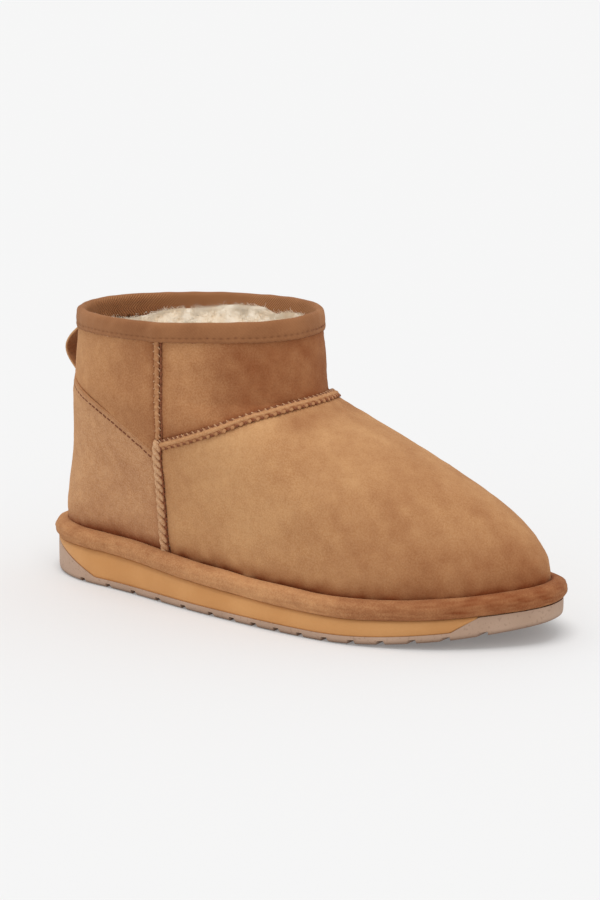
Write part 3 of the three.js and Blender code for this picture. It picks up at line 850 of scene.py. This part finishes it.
def panel(base, lift, edges, swell, creases, seed):
    """A place function for a panel of the upper. edges gives, for left, right, low and high, how
    deep and how far the edge rolls in and how deep its stitches pull."""
    def place(u, v):
        angle, level = base(spaced(u), spaced(v))
        points = skin_point(angle, level)
        left, right, low, high = borders(points)
        raised = np.full(u.shape, float(lift))
        runs = (low, low, left, left)
        for distance, run, (depth, reach, pull) in zip((left, right, low, high), runs, edges):
            raised += tuck(distance, depth, reach) + pucker(distance, run, pull)
        quiet = np.clip(np.minimum(np.minimum(left, right), np.minimum(low, high)) / 8, 0.15, 1)
        raised += swell * waves(points, 60, seed) * quiet + 0.06 * waves(points, 13, seed + 1) * quiet
        raised += 0.05 * waves(points, 4.5, seed + 2)
        raised += 0.3 * waves(points * np.array([1, 1, 0.35]), 6.5, seed + 3) * by_rand(points, 4.5)
        for path, width, depth in creases:
            raised += crease(points, path, width, depth)
        if base in (vamp_base, shaft_base):
            to_seam = high if base is vamp_base else low
            raised += bridge(angle) * np.exp(-to_seam / 9)
        return points + skin_normal(angle, level) * raised[..., None]
    return place


def tucked_level(angle):
    """Level where a panel's top row ends, under the binding."""
    return level_at(angle[-1:], collar_at(skin_point(angle[-1:], 1)[..., 0]) - 3.0)


def shaft_base(u, v):
    """The shaft's front, from the vamp seam up under the binding."""
    angle = math.pi + SEAM["spread"] * (2 * u - 1)
    for _ in range(5):
        level = mix(np.interp(angle, VAMP_ANGLES, VAMP_LEVELS), tucked_level(angle), v)
        angle = math.pi + (2 * u - 1) * front_half(u, level)
    return angle, level


def counter_top(share):
    """Height of the counter's top line; share runs from -1 to 1 between the side seams."""
    return COUNTER["top"] - COUNTER["drop"] * np.abs(share) ** COUNTER["power"]


def behind(u, level):
    """Angle of a share across the back, from the medial side seam to the lateral one."""
    share = 2 * u - 1
    return np.where(share < 0, share * side_turn(level, MEDIAL), share * side_turn(level, LATERAL))


def back_base(u, v):
    """The shaft's back, from under the counter's lap up under the binding."""
    level = np.full(u.shape, 0.5)
    for _ in range(4):
        angle = behind(u, level)
        level = mix(level_at(angle[:1], counter_top(2 * u[:1] - 1) - 6.0), tucked_level(angle), v)
    return behind(u, level), level


def heel_base(u, v):
    """The heel counter, from the sole up to its top line."""
    level = np.full(u.shape, 0.3)
    for _ in range(4):
        angle = behind(u, level)
        level = mix(VAMP_LOW, level_at(angle[-1:], counter_top(2 * u[-1:] - 1)), v)
    return behind(u, level), level


def near_seams(edge_shade, reach, extra):
    """Painted shade along a panel's edges (left, right, low and high), where they roll down into
    seams, a darker tone in soft patches, and what the panel adds of its own."""
    def shade(points, u, v):
        left, right, low, high = borders(points)
        dark = np.zeros(u.shape)
        for distance, amount in zip((left, right, low, high), edge_shade):
            dark = np.maximum(dark, amount * np.exp(-(distance / reach) ** 1.3))
        return dark + 0.06 + 0.07 * waves(points, 30, 21) + 0.05 * waves(points, 9, 22) + extra(points)
    return shade


def by_rand(points, reach):
    """How near points are to the groove above the rand: 1 in it, fading out upwards."""
    over = points[..., 2] - sole_top(points[..., 0]) - RAND_HEIGHT - GAP
    return np.exp(-np.maximum(over, 0) / reach)


def toe_painted_shade(points):
    """Painted shade low down round the toe and towards it, in the groove above the rand, and in the instep's
    hollow.
    """
    x, z = points[..., 0], points[..., 2]
    groove = by_rand(points, 3.8) * (0.85 + 0.3 * waves(points, 12, 23))
    return (0.3 * smooth(x, 50, 125) * (1 - smooth(z, 28, 66)) + 0.24 * smooth(x, 0, 60)
            + 0.95 * (1 - 0.6 * smooth(x, 20, 100)) * groove + 0.4 * bell(x - 19, 7) * bell(z - 96, 4))


def shaft_painted_shade(points):
    """Painted shade: the front of the shaft turns darker towards the instep and down towards the vamp seam.
    """
    return 0.14 + 0.48 * smooth(points[..., 0], -34, 6) + 0.25 * smooth(-points[..., 2], -98, -84)


def back_dark(points):
    return 0.22 * smooth(points[..., 0], -84, -56)


# Darker low down on the counter's sides, and painted shade in the groove above the rand.
def heel_dark(points):
    low_down = (1 - smooth(points[..., 2], 34, 62)) * smooth(points[..., 0], -120, -90)
    return 0.2 * low_down + 0.85 * by_rand(points, 3.4)


lay("vamp_panel", 260, 100,
    panel(vamp_base, 0.45, ((1.7, 3.4, 0.5), (1.7, 3.4, 0.5), (0.0, 4.0, 0.0), (1.6, 3.2, 0.75)), 0.22,
          vamp_creases, 31),
    VAMP_SUEDE, "suede", ["upper"], shade=near_seams((0.9, 0.9, 0.8, 0.8), 3.0, toe_painted_shade), thick=1.6)
lay("shaft_front_panel", 190, 60,
    panel(shaft_base, 0.45, ((1.7, 3.2, 0.35), (1.7, 3.2, 0.35), (1.6, 3.0, 0.75), (0.5, 3.0, 0.0)), 0.45,
          shaft_creases, 41),
    SHAFT_SUEDE, "suede", ["upper"], shade=near_seams((0.9, 0.9, 0.8, 0.5), 3.0, shaft_painted_shade), thick=1.6)
lay("shaft_back_panel", 190, 50,
    panel(back_base, 0.35, ((1.5, 3.2, 0.35), (1.5, 3.2, 0.35), (0.0, 3.0, 0.0), (0.5, 3.0, 0.0)), 0.4,
          back_creases, 51),
    SHAFT_SUEDE, "suede", ["upper"], shade=near_seams((0.8, 0.8, 0.0, 0.4), 3.0, back_dark), thick=1.4)
lay("heel_counter_panel", 170, 74,
    panel(heel_base, 1.1, ((1.9, 3.4, 0.45), (1.9, 3.4, 0.45), (0.7, 6.0, 0.0), (0.55, 1.2, 0.0)), 0.4,
          heel_creases, 61),
    HEEL_SUEDE, "suede", ["heel_counter"], shade=near_seams((0.8, 0.8, 0.5, 0.2), 3.4, heel_dark), thick=1.4)

# ---------------------------------------------------------------- vamp seam
def rib_section(width, rise, sink):
    """A low rounded rib: width across, rise above the line and sink below it."""
    def section(distance, turn):
        side = np.cos(turn)
        out = np.where(np.sin(turn) > 0, rise * np.abs(np.sin(turn)) ** 0.8, -sink * np.abs(np.sin(turn)))
        return side * width / 2, out
    return section


def whipped(section, pitch, depth):
    """The same rib pulled in at both edges at every stitch."""
    def pulled(distance, turn):
        across, out = section(distance, turn)
        pull = np.cos(turn) ** 2 * beat(distance + 0.12 * pitch * np.sign(across), pitch) ** 2
        return across * (1 - 0.16 * pull), out - depth * pull
    return pulled


def rib_shade(p, u, v):
    """Painted shade: the rib's vamp side is darker than its shaft side, most of all where its stitches pull.
    """
    side = np.cos(2 * math.pi * u)
    low = smooth(side, 0.05, 0.45) * (0.42 + 0.4 * beat(vamp_seam.length * v, PITCH))
    high = smooth(-side, 0.25, 0.8) * 0.45
    return np.maximum(low, high) + 0.12 * waves(p, 5, 71)


cord_along("vamp_seam_rib", vamp_seam, whipped(rib_section(4.8, 1.15, 0.9), PITCH, 0.6), RIB_SUEDE,
           "suede_trim", ["vamp_seam"], 560, 24, shade=rib_shade)


def stitch_spots(line, across, out, pitch, slant, start, seed, stop=None):
    """Matrices for a row of stitches, a little uneven as hand work is."""
    rng = np.random.default_rng(seed)
    return [line.spot(d + rng.normal(0, 0.12), across + rng.normal(0, 0.08), out, slant + rng.normal(0, 0.1))
            for d in np.arange(start, stop or line.length, pitch)]


def ridge_section(distance, turn):
    """The rolled edge that shows as a thin cord, and sinks into the seam near the instep."""
    share = np.abs(distance / vamp_seam.length - 0.5) * 2
    thick = mix(0.55, 0.85, smooth(share, 0.15, 0.5))
    return thick * np.cos(turn) * 1.1 + 0.05, 0.75 + thick * np.sin(turn)


cord_along("vamp_seam_ridge", vamp_seam, ridge_section, RIB_SUEDE, "suede_trim", ["vamp_seam"], 420, 12)
WHIP_PITCH = PITCH * 0.75                        # on the shaft side the stitches are closer together
# The holes are beads of dark thread that also stand for the shade down in the stitch holes: painted shade.
for name, template, spots, material, slot in (
    ("holes", bead(2.5, 0.95, 0.6), stitch_spots(vamp_seam, 1.6, 0.4, PITCH, -0.95, 1.5, 2),
     GROOVE_THREAD_AND_SHADE, "thread"),
    ("teeth", bead(2.0, 0.8, 0.7), stitch_spots(vamp_seam, -1.75, 0.55, WHIP_PITCH, 0.4, 1.5, 3),
     DARK_THREAD, "thread"),
    ("lobes", bead(3.5, 1.2, 0.6, 10, 8),
     stitch_spots(vamp_seam, 1.2, 0.16, PITCH, -0.85, 1.5 + PITCH / 2, 4), SHADED_LOBE_SUEDE, "suede_trim"),
    ("whips", bead(2.0, 0.36, 0.9),
     stitch_spots(vamp_seam, -1.75, 0.8, WHIP_PITCH, 1.0, 1.5 + WHIP_PITCH / 2, 5), LIGHT_THREAD, "thread"),
):
    repeat("vamp_seam_" + name, template, spots, material, slot, ["vamp_seam"])

# ---------------------------------------------------------------- side seams
def side_rib_section(side):
    """The rolled edge on the heel side of a side seam."""
    plain = rib_section(3.1, 1.15, 0.8)

    def section(distance, turn):
        across, out = plain(distance, turn)
        return across - 0.45 * side, out * (1 + 0.12 * np.sin(distance * 1.9) + 0.1 * np.sin(distance * 0.83))
    return section


def groove_section(side, off):
    """A dark line of thread lying in the groove on the toe side, and painted shade in that groove."""
    def section(distance, turn):
        thick = 0.5 + 0.12 * np.sin(2 * math.pi * distance / SIDE_PITCH)
        return off * side + thick * np.cos(turn), 0.1 + 0.7 * thick * np.sin(turn)
    return section


def strand_section(distance, turn):
    """A strand of the rope, thin where it comes out of the sole."""
    thick = 1.6 * (0.35 + 0.65 * smooth(distance, 0, 2.5))
    return thick * np.cos(turn), 0.9 * thick * np.sin(turn)


# Painted shade in the valleys where the rope's two strands meet.
def strand_shade(p, u, v):
    return 0.95 * (1 - smooth(np.sin(-2 * math.pi * u), -0.1, 0.75)) + 0.1 * waves(p, 4, 81)


# Painted shade on the rib's flanks, over a darker tone.
def side_rib_shade(p, u, v):
    return 0.25 + 0.5 * np.abs(np.cos(2 * math.pi * u)) ** 3 + 0.15 * waves(p, 2.4, 82)


ROPE_TURN = 8.6                                  # along the rope for one turn of its two strands
ROPE_TOP = 82.5                                  # where the rope ends and the plain rib begins
for side, word in ((LATERAL, "lateral"), (MEDIAL, "medial")):
    node = ["side_seam_" + word]
    rope = side_line(side, SIDE["low"] - 8, ROPE_TOP, 0.9)
    ends = smooth(rope.run, 0, 2.5) * (1 - smooth(rope.run, rope.length - 2, rope.length))
    for strand in (0, 1):
        angle = 2 * math.pi * rope.run / ROPE_TURN + strand * math.pi
        wound = Line(rope.place(rope.run, 1.1 * np.cos(angle) * side * ends - 0.4 * side,
                                0.77 * np.sin(angle) * ends), rope.out)
        cord_along(f"side_rope_{word}_{strand + 1}", wound, strand_section, ROPE_SUEDE, "suede_trim",
                   node, 260, 14, shade=strand_shade)
    rib = side_line(side, ROPE_TOP, RIM_HEIGHT + 1.0, 0.5)
    cord_along(f"side_rib_{word}", rib, whipped(side_rib_section(side), SIDE_PITCH, 0.3), RIB_SUEDE,
               "suede_trim", node, 220, 18, shade=side_rib_shade)
    for name, line, off in (("side_groove", rib, 1.75), ("rope_groove", rope, 1.9)):
        cord_along(f"{name}_{word}", line, groove_section(side, off), GROOVE_THREAD_AND_SHADE, "thread", node, 260, 10)
    repeat(f"side_stitches_{word}", bead(1.7, 0.62, 0.8),
           stitch_spots(rib, 1.8 * side, 0.15, SIDE_PITCH, -0.5, 1, 7)
           + stitch_spots(rope, 2.1 * side, -0.3, 4.3, 0.35, 2, 8, rope.length - 1),
           GROOVE_THREAD_AND_SHADE, "thread", node)
    repeat(f"side_whips_{word}", bead(2.0, 0.36, 0.8),
           stitch_spots(rib, -1.55 * side, 0.3, SIDE_PITCH, side, 1, 6)
           + stitch_spots(rib, side, 0.75, SIDE_PITCH, -0.9 * side, 1 + SIDE_PITCH / 2, 10),
           LIGHT_THREAD, "thread", node)

# ---------------------------------------------------------------- counter's top stitching
def counter_line(down, lift):
    """A line that runs under the counter's top edge, from side seam to side seam."""
    share = np.linspace(-0.965, 0.965, 240)
    level = np.full(share.shape, 0.6)
    for _ in range(4):
        angle = behind((share + 1) / 2, level)
        level = level_at(angle, counter_top(share) - down)
    return over_upper(angle, level, np.full(share.shape, lift))


repeat("counter_stitches", bead(2.3, 0.42, 0.8),
       stitch_spots(counter_line(2.9, 1.15), 0, 0.0, 3.1, 0.0, 1.0, 9), DARK_THREAD, "thread",
       ["heel_counter"])
cord_along("counter_edge", counter_line(0.0, 0.6), rib_section(1.3, 0.5, 0.5), RIB_SUEDE, "suede_trim",
           ["heel_counter"], 300, 12, shade=lambda p, u, v: np.full(u.shape, 0.25))

# ---------------------------------------------------------------- collar binding
RIM_ANGLES = np.linspace(0, 2 * math.pi, 721)
RIM_POINTS = skin_point(RIM_ANGLES, 1.0)
RIM_RUN = run_along(RIM_POINTS)
SEAM_RUNS = [np.interp(TURNS[LATERAL][-1], RIM_ANGLES, RIM_RUN),
             np.interp(2 * math.pi - TURNS[MEDIAL][-1], RIM_ANGLES, RIM_RUN)]


def rim_angle(share):
    """Angle at an even share of the collar's length."""
    return np.interp(share * RIM_RUN[-1], RIM_RUN, RIM_ANGLES)


# The binding's fold from its outer edge over the rim to its inner edge: out from the upper, and down.
FOLD = [(0.5, 8.0), (1.0, 8.2), (1.35, 7.6), (1.35, 5.6), (1.4, 3.0), (1.25, 1.0), (0.8, -0.2), (0.1, -0.7),
        (-0.7, -0.75), (-1.4, -0.35), (-1.8, 0.5), (-2.1, 2.0), (-2.7, 5.0), (-3.3, 9.4), (-2.6, 9.6)]
FOLDING = {-0.03: 0.15, -0.015: 0.2, 0: 0.3, 0.015: 0.2, 0.03: 0.15}
STITCH = 3.3                                     # the binding's machine stitch
STITCH_DOWN = 6.1                                # and how far under the rim it runs


def rim_dip(angle):
    """The collar lies a little lower on its lateral side."""
    return 0.9 * np.maximum(0, np.sin(angle)) ** 1.5


def binding_place(u, v):
    angle = rim_angle(u)
    raised, down = eased(FOLD, v, FOLDING, False)
    run = np.interp(angle, RIM_ANGLES, RIM_RUN)
    over_seams = smooth(v, 0.0, 0.04) * (1 - smooth(v, 0.36, 0.5))
    for seam in SEAM_RUNS:
        raised = raised + 0.9 * bell(run - seam, 3.4) * over_seams
    outside = 1 - smooth(v, 0.32, 0.45)
    pull = beat(run, STITCH) ** 1.5
    raised = raised - 0.35 * outside * bell(down - STITCH_DOWN, 1.0) * (0.45 + 0.55 * pull)
    lip = 0.28 * pull * outside * smooth(down, 6.9, 7.8)
    point = skin_point(angle, 1.0)
    level = level_at(angle, point[..., 2] - np.maximum(0, down))
    placed = skin(angle, level, raised)
    placed[..., 2] = point[..., 2] - down - lip - rim_dip(angle) * (1 - smooth(down, 4, 9))
    placed[..., 2] += 0.32 * waves(point, 55, 91) + 0.10 * waves(point, 13, 92)
    normal = skin_normal(angle, 1.0)
    placed[..., :2] += normal[..., :2] * (0.3 * waves(point, 48, 93) + 0.12 * waves(placed, 8, 94))[..., None]
    placed[..., 2] -= 0.9 * waves(placed, 3.5, 95) * smooth(v, 0.93, 0.985)      # the raw inner edge
    return placed


# Painted shade along the stitch row, most at each stitch, a painted shadow along the binding's outer edge,
# painted shade at its raw inner edge and inside the collar towards the heel.
def binding_shade(p, u, v):
    row = bell(v - 0.115, 0.028) * (0.12 + 0.4 * beat(u * RIM_RUN[-1], STITCH))
    inside = smooth(v, 0.55, 0.7)
    return (row + 0.6 * (1 - smooth(v, 0.0, 0.045)) + 0.4 * smooth(v, 0.92, 1.0)
            + 0.3 * inside * smooth(-p[..., 0], 66, 118))


lay("collar_binding_tape", 520, 48, binding_place, TAPE, "tape", ["collar_binding"],
    uv=(RIM_RUN[-1], 26.0), shade=binding_shade, flip=True, thick=0.7)
for name, template, down, lift, start, seed in (
    ("collar_stitches", bead(1.4, 0.5, 0.9), STITCH_DOWN, 1.12, 0.0, 12),
    ("collar_edge_stitches", bead(1.3, 0.3, 0.7), 8.6, 0.55, 1.6, 13),
):
    stitch_level = level_at(RIM_ANGLES, RIM_POINTS[:, 2] - down)
    row = over_upper(RIM_ANGLES, stitch_level, np.full(RIM_ANGLES.shape, lift))
    repeat(name, template, stitch_spots(row, 0, 0.0, STITCH, 0.0, start, seed), DARK_THREAD, "thread",
           ["collar_binding"])

# ---------------------------------------------------------------- pull loop
def loop_line():
    """The strap's middle line: a foot on the counter, and a bow out from the back of the shaft."""
    share = np.linspace(0, 1, 60)
    z = mix(LOOP["low"], LOOP["high"], share)
    raised = mix(LOOP["off"], GAP, share) + LOOP["bulge"] * np.sin(math.pi * share) ** 1.1
    foot = np.linspace(LOOP["low"] - LOOP["tab"], LOOP["low"], 12)[:-1]
    z = np.concatenate([foot, z])
    raised = np.concatenate([np.full(len(foot), LOOP["off"]), raised]) + LOOP["thick"] / 2
    back = skin_point(np.zeros(len(z)), level_at(np.zeros(len(z)), z))
    points = np.stack([back[:, 0] - raised, np.zeros(len(z)), z], -1)
    way = np.gradient(points, axis=0)
    out = np.stack([-way[:, 2], np.zeros(len(z)), way[:, 0]], -1)
    return Line(points, unit(out))


def strap_section(distance, turn):
    cos, sin = np.cos(turn), np.sin(turn)
    return (np.sign(cos) * np.abs(cos) ** 0.3 * LOOP["width"] / 2,
            np.sign(sin) * np.abs(sin) ** 0.5 * LOOP["thick"] / 2)


strap = loop_line()
# Painted shade on the strap's inner face, towards the shaft.
cord_along("pull_loop_strap", strap, strap_section, LOOP_SUEDE, "suede_trim", ["pull_loop"], 120, 40,
           shade=lambda p, u, v: 0.9 * smooth(np.sin(2 * math.pi * u), -0.2, 0.4) - 0.3)
repeat("pull_loop_stitches", bead(1.9, 0.4, 0.8),
       [strap.spot(1.6, across, 0.95, math.pi / 2) for across in np.arange(-4.8, 5.0, 2.4)]
       + [strap.spot(d, across, 0.95) for across in (-5.2, 5.2) for d in (2.6, 4.8)],
       DARK_THREAD, "thread", ["pull_loop"])

# ---------------------------------------------------------------- wool
# Where the fleece stands higher over the tape, or lower: degrees round the collar, width, height.
TUFTS = [(30, 16, 1.5), (75, 18, 1.0), (120, 14, 1.6), (160, 12, 0.8), (229, 9, 2.2), (242, 9, 2.6),
         (263, 7, 2.6), (278, 13, 3.6), (305, 14, 1.2), (336, 15, -2.2)]


def fleece_top(angle):
    """How far below the rim the fleece starts."""
    degrees = np.degrees(angle) % 360
    down = np.full(np.shape(degrees), 8.2)
    for tuft, width, height in TUFTS:
        down = down - height * bell((degrees - tuft + 180) % 360 - 180, width)
    return down


def fleece_depth(below, down):
    """How far the fleece's face stands in from the upper's outside. below is measured from its
    top line, and down from the rim."""
    return mix(3.5 + 8.0 * np.sqrt(np.clip(below / 9.0, 0, 1)), WALL_FOOT + 3.5, smooth(down, 30, 90))


def lining_place(u, v):
    """The fleece inside, from the footbed up over the tape's lower edge."""
    angle = 2 * math.pi * u
    rim = skin_point(angle, 1.0)[..., 2]
    top = level_at(angle[:1], rim[:1] - fleece_top(angle[:1]))
    level = mix(0.03, top, 1 - (1 - v) ** 1.5)
    points = skin_point(angle, level)
    down = rim - points[..., 2]
    below = np.maximum(down - fleece_top(angle), 0)
    tufted = 0.6 * waves(points, 12, 101) + 0.25 * waves(points, 4.5, 102)
    depth = fleece_depth(below, down) + smooth(below, 0, 2.5) * tufted
    return points - skin_normal(angle, level) * depth[..., None]


# Painted shade deeper down inside the shaft.
LINING = lay("wool_lining", 260, 80, lining_place, WOOL, "wool", ["upper"], flip=True,
             shade=lambda p, u, v: 0.4 * (1 - smooth(v, 0.3, 0.7)))


def footbed_place(u, v):
    """The fleece underfoot: rings drawn in to a line down the middle of the foot."""
    angle = 2 * math.pi * u
    rim = outline(angle, np.full(u.shape, -(UPPER["inset"][0] + WALL_FOOT + 0.5)))
    middle = np.stack([rim[..., 0] * 0.72, np.zeros(u.shape)], -1)
    flat = rim + (middle - rim) * v[..., None]
    ground = at_height(flat, 0.0)
    tufted = 1.2 * waves(ground, 10, 111) + 0.6 * waves(ground, 4, 112)
    return at_height(flat, sole_top(flat[..., 0]) + 6.0 + tufted)


# Painted shade deep in the boot, uneven in patches.
FOOTBED = lay("wool_footbed", 160, 40, footbed_place, FOOTBED_WOOL, "wool", ["insole"],
              shade=lambda p, u, v: 0.35 + 0.2 * waves(p, 6, 113))


def locks(name, count, per_lock, low_mm, high_mm, length, seed, lean):
    """Locks of wool that stand in from the lining: fine tapering fibres that gather towards a
    common tip, each a little curled. low and high are measured down from the fleece's top, and
    lean is how far the tips reach up for their length."""
    rng = np.random.default_rng(seed)
    fibre = bmesh.new()
    bmesh.ops.create_cone(fibre, cap_ends=True, segments=3, radius1=1.0, radius2=0.25, depth=1.0)
    long_edges = [e for e in fibre.edges if abs(e.verts[0].co.z - e.verts[1].co.z) > 0.5]
    bmesh.ops.subdivide_edges(fibre, edges=long_edges, cuts=1)
    fibre.verts.ensure_lookup_table()
    shape = np.array([v.co for v in fibre.verts])
    shape[:, 2] += 0.5
    total = count * per_lock
    lock_angle = rng.uniform(0, 2 * math.pi, count)
    lock_down = rng.uniform(low_mm, high_mm, count)
    angle = np.repeat(lock_angle, per_lock) + rng.normal(0, 0.035, total)
    down = np.repeat(lock_down, per_lock) + rng.normal(0, 1.2, total)
    rim = skin_point(angle, np.ones(total))
    below = np.maximum(down, 0.2)
    down = below + fleece_top(angle)
    level = level_at(angle, rim[:, 2] - down)
    inward = -skin_normal(angle, level)
    root = skin_point(angle, level) + inward * (fleece_depth(below, down) - 0.7)[:, None]
    centre = np.repeat(np.arange(count), per_lock)
    mean_root, mean_in = (each.reshape(count, per_lock, 3).mean(axis=1) for each in (root, inward))
    up = np.array([0, 0, 1.0])
    side = np.cross(mean_in, up)
    tip = (mean_root + mean_in * rng.uniform(0.5, 1.0, count)[:, None] * length
           + up * (rng.uniform(0.1, 1.0, count) * length * lean)[:, None]
           + side * rng.normal(0, 0.35, count)[:, None] * length)
    aim = tip[centre] + rng.normal(0, 0.9, (total, 3)) - root
    reach = rng.uniform(0.75, 1.15, total)
    width = rng.uniform(0.07, 0.14, total)
    bend = rng.normal(0, 1.4, (total, 3))
    curl = rng.uniform(0.3, 0.8, total)
    phase = rng.uniform(0, 2 * math.pi, total)
    t = shape[None, :, 2]
    line = (root[:, None] + aim[:, None] * (t * reach[:, None])[..., None]
            + bend[:, None] * (t * (1 - t))[..., None] * 1.6)
    swing, turned = curl[:, None] * t, t * 9 + phase[:, None]
    line = line + side[centre][:, None] * (np.sin(turned) * swing)[..., None]
    line[..., 2] += np.cos(turned) * swing * 0.7
    first = unit(np.cross(aim, up))
    second = unit(np.cross(aim, first))
    girth = first[:, None] * shape[None, :, 0, None] + second[:, None] * shape[None, :, 1, None]
    line = line + girth * width[:, None, None]
    fibre.verts.index_update()
    faces = [[vert.index for vert in face.verts] for face in fibre.faces]
    fibre.free()
    mesh = bpy.data.meshes.new(name)
    stride = len(shape)
    every = [[i + k * stride for i in face] for k in range(total) for face in faces]
    mesh.from_pydata(metres(line.reshape(-1, 3)), [], every)
    bm = bmesh.new()
    bm.from_mesh(mesh)
    bpy.data.meshes.remove(mesh)
    layer = bm.verts.layers.float.new("shade")
    # Painted shade towards each fibre's root.
    root_shade = np.tile(0.12 * (1 - shape[:, 2]), total)
    for vert, value in zip(bm.verts, root_shade.tolist()):
        vert[layer] = value
    return to_piece(name, bm, WOOL, "wool", ["upper"])


WOOL_PIECES = [
    locks("wool_top_locks", 1000, 9, 0.0, 3.5, 2.6, 7, lean=0.75),
    locks("wool_collar_locks", 700, 9, 2.5, 16.0, 3.2, 9, lean=0.6),
    locks("wool_shaft_locks", 350, 8, 14.0, 70.0, 5.0, 8, lean=0.3),
    LINING, FOOTBED,
]

# ---------------------------------------------------------------- floor, light and camera
def floor_piece():
    bm = bmesh.new()
    bmesh.ops.create_grid(bm, x_segments=24, y_segments=24, size=14)
    mesh = bpy.data.meshes.new("floor")
    bm.to_mesh(mesh)
    bm.free()
    # It glows slightly, so that it's as pale as a lit paper sweep.
    f = Finish("pale_floor", Roughness=0.9, Specular_IOR_Level=0.0, Emission_Color=tone(255, 255, 255),
               Emission_Strength=0.16)
    mesh.materials.append(f.finish(tone(215, 215, 215)))
    floor = bpy.data.objects.new("floor", mesh)
    bpy.context.scene.collection.objects.link(floor)
    return floor


floor_piece()

SKY, SUN, WOOL_FILL = 0.75, 1.2, 0.95
world = bpy.data.worlds.new("studio")
bpy.context.scene.world = world
world.use_nodes = True
sky = world.node_tree.nodes["Background"].inputs
sky["Color"].default_value = (1.0, 1.0, 1.0, 1.0)
sky["Strength"].default_value = SKY


def sun(name, strength, from_place, softness):
    light = bpy.data.lights.new(name, "SUN")
    light.energy, light.angle = strength, math.radians(softness)
    lamp = bpy.data.objects.new(name, light)
    lamp.rotation_mode = "QUATERNION"
    lamp.rotation_quaternion = Vector(from_place).to_track_quat("Z", "Y")
    bpy.context.scene.collection.objects.link(lamp)
    return lamp


key = sun("key", SUN, (0.06, -0.2, 1.0), 34)
# Fleece scatters light through itself, so it has an even light of its own in place of the key.
fleece_light = sun("fleece_fill", WOOL_FILL, (0.2, -0.8, 1.0), 60)
fleece_light.data.use_shadow = False
for lamp, state in ((key, "EXCLUDE"), (fleece_light, "INCLUDE")):
    lit = bpy.data.collections.new(lamp.name + "_fleece")
    for piece in WOOL_PIECES:
        lit.objects.link(piece)
    lamp.light_linking.receiver_collection = lit
    for entry in lit.collection_objects:
        entry.light_linking.link_state = state

AIM = (cad_low + cad_high) / 2 + Vector((0.0041, -0.0011, 0.0048))
AZIMUTH, ELEVATION, ROLL, DISTANCE = math.radians(34.25), math.radians(12.8), 0.0047, 1.22
back_way = Vector((math.sin(AZIMUTH) * math.cos(ELEVATION), -math.cos(AZIMUTH) * math.cos(ELEVATION),
                   math.sin(ELEVATION)))
lens = bpy.data.cameras.new("camera")
lens.lens, lens.sensor_width, lens.sensor_fit = 100.74, 36.0, "AUTO"
lens.clip_start, lens.clip_end = 0.01, 60.0
camera = bpy.data.objects.new("camera", lens)
camera.location = AIM + back_way * DISTANCE
camera.rotation_mode = "QUATERNION"
rolled = Matrix.Rotation(ROLL, 3, "Z").to_quaternion()
camera.rotation_quaternion = (-back_way).to_track_quat("-Z", "Y") @ rolled
bpy.context.scene.collection.objects.link(camera)
bpy.context.scene.camera = camera
bpy.context.scene.view_settings.view_transform = "Standard"
